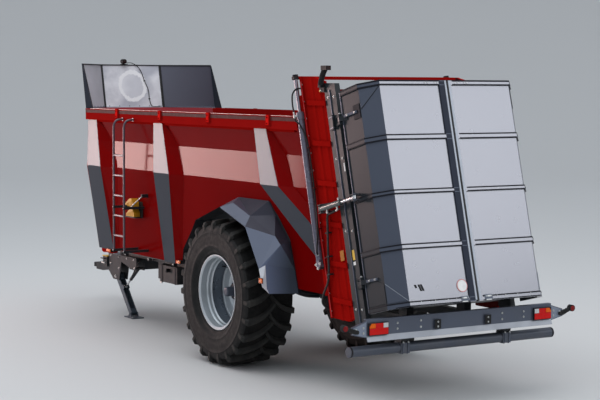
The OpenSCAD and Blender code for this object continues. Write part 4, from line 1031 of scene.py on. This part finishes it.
# marker lamps, the lower hem and lashing eyes on the sides, and the wheel chocks
for name, s in SIDES:
    at = lambda x, y, z: Q(x, s * y, z)
    k = Kit("side_panel_fittings_" + name, "frame", "dark_paint", bevel=0.0015)
    # side marker lamps
    for x0, x1, z0, z1, y0 in ((1.845, 1.965, 1.128, 1.176, 0.975), (4.13, 4.27, 1.085, 1.135, 1.0)):
        k.box((x0, y0 - 0.03, z0), (x1, y0, z1), M["black"], at=at)
        k.box((x0 + 0.006, y0 - 0.001, z0 + 0.005), (x1 - 0.006, y0 + 0.017, z1 - 0.005), M["amber"], at=at)
    # bracket that carries the front marker
    k.prism([(4.05, 1.118), (4.66, 1.118), (4.66, 1.06), (4.60, 1.04), (4.12, 1.075)], 0.90, 0.912, lambda x, z, y: Q(x, s * y, z), M["red_adapter"])
    k.box((4.10, 0.90, 1.07), (4.32, 1.0, 1.082), M["red_adapter"], at=at)
    # lower hem of the side sheet
    k.box((1.95, 0.918, 1.105), (4.56, 0.9285, 1.1195), M["dark"], at=at)
    # drain and lashing eyes under the hem
    for x in (2.2, 3.0, 3.8):
        k.box((x - 0.02, 0.86, 1.06), (x + 0.02, 0.915, 1.119), M["dark"], at=at)
        k.bolt(at(x, 0.915, 1.085), (0, s, 0), M["zinc"], r=0.01, h=0.007)
    k.build()

# two wheel chocks in a holder on the left panel
k = Kit("wheel_chocks_with_holder", "frame", "black_plastic", bevel=0.004)
y0 = panel_y(1.87) + 0.002
k.box((2.985, y0, 1.70), (3.385, y0 + 0.006, 1.99), M["dark"])
k.box((2.96, y0, 1.845), (3.41, y0 + 0.125, 1.858), M["dark"])
for zc, dx in ((1.862, 0.03), (1.715, 0.0)):
    xa = 3.06 + dx
    body = [(xa, zc), (xa + 0.27, zc), (xa + 0.27, zc + 0.035), (xa + 0.14, zc + 0.115), (xa + 0.06, zc + 0.125), (xa + 0.012, zc + 0.06)]
    k.prism(body, y0 + 0.010, y0 + 0.115, lambda x, z, y: Q(x, y, z), M["yellow"])
    for i in range(5):
        x = xa + 0.05 + i * 0.045
        k.prism([(x - 0.004, zc + 0.01), (x + 0.004, zc + 0.01), (x + 0.004, zc + 0.09 - i * 0.012), (x - 0.004, zc + 0.09 - i * 0.012)], y0 + 0.114, y0 + 0.121, lambda x_, z_, y_: Q(x_, y_, z_), M["yellow"])
k.box((2.985, y0, 1.70), (3.385, y0 + 0.125, 1.712), M["dark"])
k.rod(Q(3.05, y0 + 0.128, 1.90), Q(2.80, y0 + 0.10, 2.045), 0.009, M["zinc"], n=12)
k.rod(Q(3.05, y0 + 0.128, 1.90), Q(3.12, y0 + 0.128, 1.86), 0.009, M["zinc"], n=12)
k.box((2.775, y0, 2.02), (2.82, y0 + 0.115, 2.07), M["dark"])
k.build()

# ladder of bent tube
k = Kit("ladder_of_bent_tube", "frame", "dark_paint", bevel=0.0015)
for x in (2.95, 3.30):
    k.tube([Q(x, 1.335, 1.19), Q(x, 1.335, 1.8), Q(x, 1.335, 2.4), Q(x, 1.335, 2.95), Q(x, 1.335, 3.04), Q(x, 1.325, 3.095), Q(x, 1.298, 3.134), Q(x, 1.262, 3.152), Q(x, 1.225, 3.158), Q(x, 1.188, 3.160)], 0.0165, M["ladder"], n=16, steps=6)
    k.rod(Q(x, 1.335, 1.1905), Q(x, 1.335, 1.215), 0.0185, M["black"], n=16)
    k.box((x - 0.022, 1.1868, 3.136), (x + 0.022, 1.193, 3.184), M["ladder"])
    for z, y in ((1.86, 1.012), (1.215, 0.942)):
        k.box((x - 0.013, y, z - 0.018), (x + 0.013, 1.322, z + 0.018), M["post"])
        k.bolt(Q(x, 1.349, z), (0, 1, 0), M["zinc"], r=0.010, h=0.004, washer=False)
        k.rod(Q(x, 1.335, z - 0.02), Q(x, 1.335, z + 0.02), 0.0178, M["post"], n=16)
for i in range(5):
    z = 1.44 + i * 0.298
    k.rod(Q(2.95, 1.335, z), Q(3.30, 1.335, z), 0.0135, M["rung"], n=14)
    for x in (2.966, 3.284):
        k.revolve([(0.0137, x - 0.004), (0.0165, x), (0.0137, x + 0.004)], Q(0, 1.335, z), (1, 0, 0), M["rung"], n=14)
    for j in range(11):
        x = 2.985 + j * 0.0278
        k.box((x, 1.329, z + 0.0128), (x + 0.010, 1.341, z + 0.0142), M["zinc"])
k.build(replaces=["ladder"])

# ------------------------------------------------------------ front screen
FX, RT, ST = 4.6, 3.300, 4.000
CUT = 0.710 * (1.186 - 1.140) / (1.186 - 0.530)
END0, MID0 = (FX + 0.040 + CUT, 1.140), (FX + 0.750, 0.530)
END1, MID1 = (FX + 0.196 + CUT, 1.140), (FX + 0.906, 0.530)


def screen_pt(a, t, h, off=0.0):
    """a: 0 left end, 1 left fold, 2 right fold, 3 right end; t along to the next; h 0 foot, 1 top; off towards the box"""
    lo = [END0, MID0, (MID0[0], -MID0[1]), (END0[0], -END0[1])]
    hi = [END1, MID1, (MID1[0], -MID1[1]), (END1[0], -END1[1])]
    p = Vector((lo[a][0] + (lo[a + 1][0] - lo[a][0]) * t, lo[a][1] + (lo[a + 1][1] - lo[a][1]) * t, RT))
    q = Vector((hi[a][0] + (hi[a + 1][0] - hi[a][0]) * t, hi[a][1] + (hi[a + 1][1] - hi[a][1]) * t, ST))
    r = p + (q - p) * h
    d = [(-0.68, -0.73), (-1.0, 0.0), (-0.68, 0.73)][a]
    return Q(r.x + d[0] * off, r.y + d[1] * off, r.z)


def screen_patch(kit, a, t0, t1, h0, h1, thick, mat, off=0.0008):
    lo = [screen_pt(a, t, h, off) for t, h in ((t0, h0), (t1, h0), (t1, h1), (t0, h1))]
    hi = [screen_pt(a, t, h, off + thick) for t, h in ((t0, h0), (t1, h0), (t1, h1), (t0, h1))]
    vs = lo + hi
    c = sum(vs, Vector()) / 8
    out = []
    for f in ([0, 1, 2, 3], [4, 5, 6, 7], [0, 1, 5, 4], [1, 2, 6, 5], [2, 3, 7, 6], [3, 0, 4, 7]):
        fc = sum((vs[i] for i in f), Vector()) / 4
        nn = (vs[f[1]] - vs[f[0]]).cross(vs[f[2]] - vs[f[1]])
        out.append(f if nn.dot(fc - c) > 0 else f[::-1])
    kit.add(vs, out, mat)


def print_material():
    """pale sheet with soft brushed sweeps round a plain ring"""
    s = Shader("pale_screen_print")
    xyz = s.node("ShaderNodeSeparateXYZ")
    s.link(s.co, xyz.inputs[0])
    wob = s.math("MULTIPLY", s.ramp(s.noise(9.0, 5, 0.7), 0.3, 0.7, -1.0, 1.0), 0.022)
    z = s.math("SUBTRACT", xyz.outputs["Z"], 3.655)
    rr = s.math("SQRT", s.math("ADD", s.math("MULTIPLY", xyz.outputs["Y"], xyz.outputs["Y"]), s.math("MULTIPLY", z, z)), 0.0)
    ring = s.math("ABSOLUTE", s.math("SUBTRACT", s.math("ADD", rr, wob), 0.225), 0.0)
    ring = s.ramp(ring, 0.022, 0.040, 1.0, 0.0)
    disc = s.ramp(s.math("ADD", rr, wob), 0.20, 0.23, 0.45, 0.0)
    mp = s.node("ShaderNodeMapping", Rotation=(0.5, 0, 0), Scale=(1.0, 1.0, 2.2))
    s.link(s.co, mp.inputs["Vector"])
    w = s.node("ShaderNodeTexWave", Scale=0.55, Distortion=6.0, Detail=3.0)
    w.inputs["Detail Scale"].default_value = 0.9
    w.bands_direction = "DIAGONAL"
    s.link(mp.outputs["Vector"], w.inputs["Vector"])
    soft = s.ramp(s.noise(3.2, 5, 0.6), 0.3, 0.75)
    a = s.mix(s.ramp(w.outputs["Fac"], 0.15, 0.85), lin(196, 198, 208), lin(240, 240, 245))
    col = s.mix(s.math("MULTIPLY", soft, 0.55), a, lin(150, 150, 162))
    col = s.mix(disc, col, lin(244, 244, 248))
    col = s.mix(ring, col, lin(250, 250, 252))
    s.set(Base_Color=col, Roughness=0.42)
    s.bump(s.noise(200, 2), 0.03, 0.001)
    return s.m


M["print"] = print_material()
k = Kit("front_screen_lining", "frame", "grey_paint", bevel=0.001)
screen_patch(k, 1, 0.012, 0.988, 0.02, 0.985, 0.003, M["print"])
# the right facet in a painted gradient of light and shade
screen_patch(k, 2, 0.02, 0.985, 0.012, 0.985, 0.0025, M["screen_far"])
# the left facet in the lighter copy of the screen paint: painted light
screen_patch(k, 0, 0.02, 0.985, 0.012, 0.985, 0.0025, M["screen_brown"])
for a, t in ((0, 1.0), (1, 0.0), (1, 1.0), (2, 0.0)):
    w = 0.022 if a == 1 else 0.026
    t0, t1 = (t - w, t) if t > 0.5 else (t, t + w)
    screen_patch(k, a, t0, t1, 0.0, 1.0, 0.012, M["seam"])
for a in (0, 1, 2):
    screen_patch(k, a, 0.0, 1.0, 0.975, 0.998, 0.014, M["seam"])
    screen_patch(k, a, 0.0, 1.0, 0.002, 0.026, 0.010, M["edge"] if a == 1 else M["bar"])
for s in (1, -1):
    # rounded lips on the end plates
    k.tube([Q(4.474, s * 1.137, 3.302), Q(4.594, s * 1.137, 3.528), Q(4.715, s * 1.137, 3.758), Q(4.832, s * 1.137, 3.980)], 0.007, M["line"], n=10, steps=4)
for a in (0, 1, 2):
    for i in range(6):
        p = screen_pt(a, 0.08 + i * 0.168, 0.035, 0.004)
        k.bolt(p, (-1, 0, 0), M["bar"], r=0.006, h=0.004)
k.build()

k = Kit("screen_work_lamp_parts", "frame", "black_plastic", bevel=0.002)
k.revolve([(0.0, 5.4665), (0.029, 5.4665), (0.032, 5.4685)], Q(0, 0.120, 4.050), (1, 0, 0), M["smoked"], n=28)
k.revolve([(0.0325, 5.4700), (0.0330, 5.4630), (0.0370, 5.4625), (0.0376, 5.4660), (0.0372, 5.4700)], Q(0, 0.120, 4.050), (1, 0, 0), M["black"], n=28, closed=True)
for i in range(4):
    k.revolve([(0.0376, 5.505 + i * 0.013), (0.0386, 5.507 + i * 0.013), (0.0376, 5.511 + i * 0.013)], Q(0, 0.120, 4.050), (1, 0, 0), M["black"], n=24)
k.box((5.44, 0.075, 4.0), (5.56, 0.165, 4.008), M["black"])
pts = [Q(5.53, 0.10, 4.02), Q(5.495, 0.0, 4.028), Q(5.470, -0.09, 3.985), screen_pt(1, 0.66, 0.86, 0.012), screen_pt(1, 0.71, 0.62, 0.012), screen_pt(1, 0.76, 0.40, 0.012), screen_pt(1, 0.765, 0.20, 0.012), screen_pt(1, 0.79, 0.045, 0.012), screen_pt(1, 0.86, 0.02, 0.012), screen_pt(1, 0.96, 0.03, 0.012)]
k.tube(pts, 0.006, M["hose"], n=8)
for h, t in ((0.62, 0.71), (0.20, 0.765)):
    p = screen_pt(1, t, h, 0.004)
    k.rod(p + Vector((0, -0.016, 0)), p + Vector((0, 0.016, 0)), 0.009, M["black"], n=10)
k.build()

# --------------------------------------------------------------- mudguards
for name, s in SIDES:
    k = Kit("mudguard_lamp_" + name, "frame", "black_plastic", bevel=0.0015)
    p = Q(-1.165, s * 1.4005, 1.245)
    k.box((-1.195, 1.3990, 1.205), (-1.105, 1.404, 1.275), M["black"], at=lambda x, y, z: Q(x, s * y, z))
    k.box((-1.189, 1.404, 1.211), (-1.111, 1.414, 1.269), M["amber"], at=lambda x, y, z: Q(x, s * y, z))
    # closing strip from the inner edge to the side sheet, near black: painted shade in the gap, partly the guard's
    # inner edge
    row = [(0.021, 1.056, 2.198), (-0.754, 1.056, 2.198), (-0.886, 1.038, 2.028), (-1.176, 1.003, 1.714), (-1.238, 0.965, 1.372), (-1.282, 0.930, 1.066)]
    back = [(-0.01, 0.99, 2.190), (-0.80, 0.99, 2.190), (-0.955, 0.985, 2.045), (-1.215, 0.945, 1.745), (-1.262, 0.905, 1.385), (-1.283, 0.888, 1.07)]
    for i in range(len(row) - 1):
        quad = [row[i], row[i + 1], back[i + 1], back[i]]
        vs = [Q(a, s * b, c) for a, b, c in quad] + [Q(a * 0.997, s * (b - 0.003), c - 0.003) for a, b, c in quad]
        k.add(vs, [[0, 1, 2, 3], [7, 6, 5, 4], [0, 4, 5, 1], [1, 5, 6, 2], [2, 6, 7, 3], [3, 7, 4, 0]] if s > 0 else [[3, 2, 1, 0], [4, 5, 6, 7], [1, 5, 4, 0], [2, 6, 5, 1], [3, 7, 6, 2], [0, 4, 7, 3]], M["line"])
    # stays from the frame
    for z, x in ((1.05, -1.12), (1.02, -0.98)):
        k.tube([Q(-1.24, s * 0.60, z - 0.02), Q(-1.24, s * 0.78, z), Q(-1.245, s * 0.93, z + 0.05), Q(-1.235, s * 1.02, z + 0.10)], 0.019, M["dark"], n=12)
    k.build()

# -------------------------------------------------------- lamp bar and tube
k = Kit("rear_lamps_and_bar_fittings", "frame", "black_plastic", bevel=0.0015)
BX = -3.438
for s in (1, -1):
    at = lambda x, y, z: Q(x, s * y, z)
    y0, y1, z0, z1, xb = 1.075, 1.338, 0.862, 1.000, BX - 0.0242
    k.box((xb - 0.010, y0 + 0.004, z0 + 0.004), (xb, y1 - 0.004, z0 + 0.078), M["redlens"], at=at)
    k.box((xb - 0.009, y0 + 0.072, z0 + 0.0785), (xb, y1 - 0.086, z1 - 0.004), M["redlens"], at=at)
    k.box((xb - 0.010, y0 + 0.004, z0 + 0.081), (xb, y0 + 0.069, z1 - 0.004), M["clear"], at=at)
    k.prism([(y1 - 0.083, z0 + 0.081), (y1 - 0.004, z0 + 0.081), (y1 - 0.004, z0 + 0.10), (y1 - 0.030, z1 - 0.004), (y1 - 0.083, z1 - 0.004)], xb - 0.010, xb, lambda y, z, x: Q(x, s * y, z), M["amber"])
    k.box((xb - 0.004, y0 - 0.004, z0 - 0.004), (xb + 0.012, y1 + 0.004, z1 + 0.004), M["black"], at=at)
    # rubber buffers
    k.prism([(0.325, 0.868), (0.415, 0.868), (0.415, 0.978), (0.325, 0.978)], BX - 0.026, BX - 0.0215, lambda y, z, x: Q(x, s * y, z), M["rubber"])
    for z in (0.895, 0.950):
        k.bolt(at(BX - 0.026, 0.37, z), (-1, 0, 0), M["zinc"], r=0.008, h=0.005)
    for y, z in ((0.93, 0.975), (0.93, 0.91), (0.60, 0.98), (0.60, 0.905), (1.40, 0.95), (1.40, 0.89), (1.50, 0.935)):
        k.bolt(at(BX - 0.0005, y, z), (-1, 0, 0), M["zinc"], r=0.009, h=0.006)
    # bent outer edge of the end plate
    k.prism([(1.360, 1.022), (1.366, 1.010), (1.549, 0.950), (1.549, 0.963)], BX, BX + 0.034, lambda y, z, x: Q(x, s * y, z), M["bar"])
    k.prism([(1.360, 0.834), (1.366, 0.846), (1.549, 0.888), (1.549, 0.876)], BX, BX + 0.034, lambda y, z, x: Q(x, s * y, z), M["bar"])
    # side marker lamps: white to the front, red to the rear
    c = at(0, 1.670, 0.967)
    k.revolve([(0.0, BX - 0.0485), (0.026, BX - 0.0485), (0.033, BX - 0.0455)], c, (1, 0, 0), M["marker_red"], n=28)
    k.revolve([(0.033, BX - 0.046), (0.0388, BX - 0.044), (0.0398, BX - 0.036), (0.0390, BX - 0.028)], c, (1, 0, 0), M["rubber"], n=28)
    k.revolve([(0.0, BX + 0.0185), (0.026, BX + 0.0185), (0.033, BX + 0.0155)], c, (1, 0, 0), M["clear"], n=28)
    for i in range(4):
        t = i / 4
        a = Vector((BX - 0.015, 1.50 + t * 0.14, 0.912 + t * 0.045))
        k.rod(at(a.x - 0.017, a.y, a.z), at(a.x + 0.017, a.y, a.z), 0.024, M["rubber"], n=12)
    # cable to the lamp
    k.tube([at(BX + 0.014, 1.20, 0.93), at(BX + 0.05, 1.18, 0.90), at(BX + 0.055, 0.95, 0.875), at(BX + 0.05, 0.70, 0.885), at(BX + 0.05, 0.50, 0.90)], 0.006, M["hose"], n=8)
k.build()

k = Kit("underrun_tube_fittings", "frame", "grey_paint", bevel=0.002)
for s in (1, -1):
    at = lambda x, y, z: Q(x, s * y, z)
    k.revolve([(0.0, 1.4998), (0.055, 1.4998), (0.0605, 1.4985), (0.0625, 1.492), (0.0625, 1.472), (0.0621, 1.470)], Q(-3.282, 0, 0.657), (0, s, 0), M["black"], n=32)
    for y in (0.715, 0.785):
        k.tube([at(-3.356, y, 0.716), at(-3.3545, y, 0.66), at(-3.349, y, 0.60), at(-3.31, y, 0.5925), at(-3.25, y, 0.5925), at(-3.213, y, 0.60), at(-3.207, y, 0.66), at(-3.206, y, 0.716)], 0.0075, M["bar"], n=10)
        for x in (-3.356, -3.206):
            k.bolt(at(x, y, 0.719), (0, 0, 1), M["zinc"], r=0.011, h=0.010)
    for x, z in ((-3.33, 0.80), (-3.24, 0.80)):
        k.bolt(at(x, 0.8105, z), (0, s, 0), M["zinc"], r=0.012, h=0.01)
k.build()

# --------------------------------------------------- jack, frame and drawbar
k = Kit("jack_bracket_fittings", "frame", "dark_paint", bevel=0.002)
for x, z in ((4.20, 0.93), (4.45, 0.93), (4.75, 0.93), (5.05, 0.93), (5.05, 0.80), (4.75, 0.75)):
    k.bolt(Q(x, 0.5755, z), (0, 1, 0), M["zinc"], r=0.011, h=0.009)
k.box((4.66, 0.418, 0.9655), (5.15, 0.585, 0.972), M["bar"])
k.bolt(Q(4.87, 0.5755, 0.61), (0, 1, 0), M["zinc"], r=0.018, h=0.012)
k.bolt(Q(4.18, 0.5755, 0.80), (0, 1, 0), M["zinc"], r=0.014, h=0.010)
k.tube([Q(4.25, 0.545, 0.74), Q(4.22, 0.60, 0.68), Q(4.16, 0.62, 0.70), Q(4.10, 0.60, 0.80), Q(4.06, 0.56, 0.90), Q(4.02, 0.49, 0.95)], 0.009, M["hose"], n=8)
# hook on the tie-down post
k.tube([Q(3.48, 0.435, 0.712), Q(3.48, 0.435, 0.680), Q(3.50, 0.435, 0.652), Q(3.54, 0.435, 0.650), Q(3.562, 0.435, 0.675), Q(3.555, 0.435, 0.700)], 0.012, M["zinc"], n=10)
for x in (2.74, 3.17):
    k.box((x - 0.02, 0.398, 0.705), (x + 0.02, 0.604, 0.712), M["line"])
    k.box((x - 0.02, 0.6005, 0.705), (x + 0.02, 0.606, 0.962), M["line"])
k.revolve([(0.0, 0.655), (0.026, 0.655), (0.030, 0.650), (0.030, 0.6005)], Q(2.95, 0, 0.90), (0, 1, 0), M["black"], n=20)
k.build()

k = Kit("jack_leg_fittings", "jack", "dark_paint", bevel=0.0015)
for dx in (-0.13, 0.09):
    for y in (0.42, 0.58):
        k.bolt(Q(4.375 + dx, y, 0.0162), (0, 0, 1), M["zinc"], r=0.010, h=0.008)
k.build()

k = Kit("axle_and_hub_fittings", "frame", "dark_paint", bevel=0.002)
for s in (1, -1):
    at = lambda x, y, z: Q(x, s * y, z)
    # plates and bolts that clamp the axle to the rails
    for x in (-0.135, 0.135):
        for y in (0.395, 0.465):
            k.rod(at(x * 0.78, y, 0.855), at(x * 0.78, y, 0.965), 0.013, M["zinc"], n=12)
            k.bolt(at(x * 0.78, y, 0.852), (0, 0, -1), M["zinc"], r=0.018, h=0.014)
    k.box((-0.15, 0.37, 0.866), (0.15, 0.49, 0.8865), M["dark"], at=at)
    # brake drum back plate with lever and chamber
    k.revolve([(0.10, 0.668), (0.205, 0.668), (0.21, 0.674), (0.21, 0.742), (0.205, 0.75), (0.10, 0.75)], Q(0, 0, AZ), (0, s, 0), M["dark"], n=48, closed=True)
    k.revolve([(0.06, 0.0), (0.075, 0.01), (0.075, 0.11), (0.06, 0.13), (0.0, 0.13)], at(0.235, 0.55, 0.93), (1, 0, 0.15), M["dark"], n=28)
    k.rod(at(0.10, 0.55, 0.91), at(0.24, 0.55, 0.93), 0.012, M["zinc"], n=12)
    k.prism([(0.085, 0.895), (0.115, 0.895), (0.108, 1.03), (0.088, 1.03)], 0.56, 0.572, lambda x, z, y: Q(x, s * y, z), M["zinc"])
    k.rod(at(0.097, 0.545, 1.005), at(0.097, 0.668, 1.005), 0.017, M["dark"], n=14)
k.build()

k = Kit("drawbar_fittings", "frame", "dark_paint", bevel=0.002)
for y in (-0.07, 0.07):
    for z in (0.545, 0.615):
        k.bolt(Q(6.668, y, z), (1, 0, 0), M["zinc"], r=0.013, h=0.012)
        k.bolt(Q(6.500, y, 0.6605 if z > 0.58 else 0.655), (0, 0, 1), M["zinc"], r=0.009, h=0.006)
# shield round the power stub
k.revolve([(0.088, 4.905), (0.120, 4.915), (0.145, 5.03), (0.152, 5.13), (0.146, 5.13), (0.138, 5.03), (0.112, 4.922), (0.088, 4.918)], Q(0, 0, 1.07), (1, 0, 0), M["black"], n=36, closed=True)
# hose rack with couplings
k.prism([(5.02, 0.905), (5.045, 0.905), (5.045, 0.97), (5.02, 0.97)], -0.34, -0.17, lambda x, z, y: Q(x, y, z), M["dark"])
for i in range(4):
    y = -0.32 + i * 0.045
    k.tube([Q(4.905, y, 0.93), Q(5.0, y, 0.945), Q(5.10, y, 0.935), Q(5.17, y, 0.90)], 0.010, M["hose"], n=10)
    k.rod(Q(5.165, y, 0.903), Q(5.215, y, 0.878), 0.015, M["zinc"], n=12)
    k.rod(Q(5.212, y, 0.880), Q(5.240, y, 0.866), 0.017, M["label_yellow"] if i % 2 else M["redlens"], n=12)
# valve block on the left front corner of the frame
k.box((5.145, 0.44, 0.735), (5.30, 0.60, 0.905), M["dark"])
k.box((5.14, 0.43, 0.90), (5.31, 0.61, 0.912), M["label_yellow"])
for i in range(3):
    k.rod(Q(5.18 + i * 0.045, 0.60, 0.80), Q(5.18 + i * 0.045, 0.635, 0.80), 0.016, M["zinc"], n=14)
    k.rod(Q(5.18 + i * 0.045, 0.60, 0.86), Q(5.18 + i * 0.045, 0.655, 0.87), 0.008, M["black"], n=10)
k.build()

# beater knives along each spiral
for name, s in SIDES:
    k = Kit("beater_" + name + "_knives", "beater_" + name, "bare_steel", bevel=0.0015)
    c = L(0.8, s * 0.5, 0)
    ax = Vector((SA, 0, CA))
    e1 = Vector((CA, 0, -SA))
    e2 = Vector((0, 1, 0))
    pitch, w0, hgt = 0.620, 0.215, 2.09
    n = 26
    for i in range(n):
        f = (i + 0.5) / n
        w = w0 + f * hgt
        t = -s * 2 * math.pi * f * hgt / pitch + math.radians(4)
        t = -t if s > 0 else -t
        rad = math.cos(t) * e1 + math.sin(t) * e2
        tan = ax.cross(rad)
        o = c + ax * w
        q = [(0.395, -0.028), (0.478, -0.020), (0.488, 0.0), (0.478, 0.020), (0.395, 0.028)]
        vs = [o + rad * a + tan * b + ax * h for h in (0.010, 0.018) for a, b in q]
        m = len(q)
        fs = [list(range(m))[::-1], [j + m for j in range(m)]] + [[j, (j + 1) % m, (j + 1) % m + m, j + m] for j in range(m)]
        k.add(vs, fs, M["steel"])
        k.bolt(o + rad * 0.415 + ax * 0.018, ax, M["zinc"], r=0.009, h=0.006)
        k.bolt(o + rad * 0.450 + ax * 0.018, ax, M["zinc"], r=0.009, h=0.006)
    k.build()

# chain links of the scraper floor
k = Kit("floor_chain_links", "frame", "bare_steel", bevel=0.0)
for s in (1, -1):
    n = 82
    for i in range(n):
        x = -2.03 + i * 0.08
        if i % 2:
            k.box((x - 0.036, 0.478, 1.169), (x + 0.036, 0.492, 1.197), M["floor_steel"], at=lambda a, b, c: Q(a, s * b, c))
        else:
            k.box((x - 0.036, 0.468, 1.1685), (x + 0.036, 0.502, 1.180), M["floor_steel"], at=lambda a, b, c: Q(a, s * b, c))
k.build()

# ------------------------------------------------------------ floor and light


def ground_material():
    s = Shader("studio_floor")
    s.set(Base_Color=lin(212, 212, 211), Roughness=0.85)
    s.p.inputs["Specular IOR Level"].default_value = 0.1
    return s.m


def sheet_of(name, rows, mat):
    me = bpy.data.meshes.new(name)
    n = len(rows[0])
    me.from_pydata([p for r in rows for p in r], [], [(j * n + i, j * n + i + 1, (j + 1) * n + i + 1, (j + 1) * n + i) for j in range(len(rows) - 1) for i in range(n - 1)])
    me.materials.append(mat)
    for f in me.polygons:
        f.use_smooth = True
    o = bpy.data.objects.new(name, me)
    bpy.context.scene.collection.objects.link(o)
    return o


# floor that rises far behind the machine into a plain pale wall
ground = ground_material()
hx, hy = math.cos(-0.5546), math.sin(-0.5546)
rows = []
for d, z in [(-120, 0), (-40, 0), (0, 0), (40, 0)] + [(40 + 26 * math.sin(math.radians(a)), 26 - 26 * math.cos(math.radians(a))) for a in range(6, 91, 6)] + [(66, 60)]:
    rows.append([(hx * d - hy * w, hy * d + hx * w, z - 0.001) for w in (-120, -60, -20, 0, 20, 60, 120)])
sheet_of("studio_floor", rows, ground)

world = bpy.data.worlds.new("studio")
bpy.context.scene.world = world
world.use_nodes = True
wt = world.node_tree
bg = wt.nodes["Background"]
tc = wt.nodes.new("ShaderNodeTexCoord")
sep = wt.nodes.new("ShaderNodeSeparateXYZ")
wt.links.new(tc.outputs["Generated"], sep.inputs[0])
ramp = wt.nodes.new("ShaderNodeValToRGB")
ramp.color_ramp.elements[0].position = 0.0
ramp.color_ramp.elements[0].color = rgba((0.10, 0.105, 0.11))
ramp.color_ramp.elements[1].position = 0.75
ramp.color_ramp.elements[1].color = rgba((0.86, 0.92, 1.0))
mid = ramp.color_ramp.elements.new(0.22)
mid.color = rgba((0.42, 0.45, 0.49))
wt.links.new(sep.outputs["Z"], ramp.inputs[0])
wt.links.new(ramp.outputs[0], bg.inputs[0])
bg.inputs[1].default_value = 0.9


def area(name, at, to, sx, sy, radiance, colour=(1, 1, 1), spread=180):
    l = bpy.data.lights.new(name, "AREA")
    l.shape = "RECTANGLE"
    l.size, l.size_y = sx, sy
    l.energy = radiance * math.pi * sx * sy
    l.color = colour
    l.spread = math.radians(spread)
    o = bpy.data.objects.new(name, l)
    bpy.context.scene.collection.objects.link(o)
    o.location = at
    o.rotation_euler = (Vector(to) - Vector(at)).to_track_quat("-Z", "Y").to_euler()
    return o


area("key_behind_right", (-18.5, -8.2, 8.8), (-5.5, 0, 2.2), 15, 8, 1.55, (0.98, 0.99, 1.0))
area("top", (0.0, 3.0, 15.0), (0, 0, 1.0), 18, 12, 1.15)
area("front_left_panel", (14.0, 8.65, 2.9), (-0.8, 0.79, 2.7), 5.3, 3.6, 1.4, (1.0, 0.71, 0.67), spread=50)
area("left_fill", (-8.0, 17.0, 8.0), (-1.5, 0.8, 1.6), 12, 6, 0.15)

bpy.context.scene.view_settings.view_transform = "Standard"
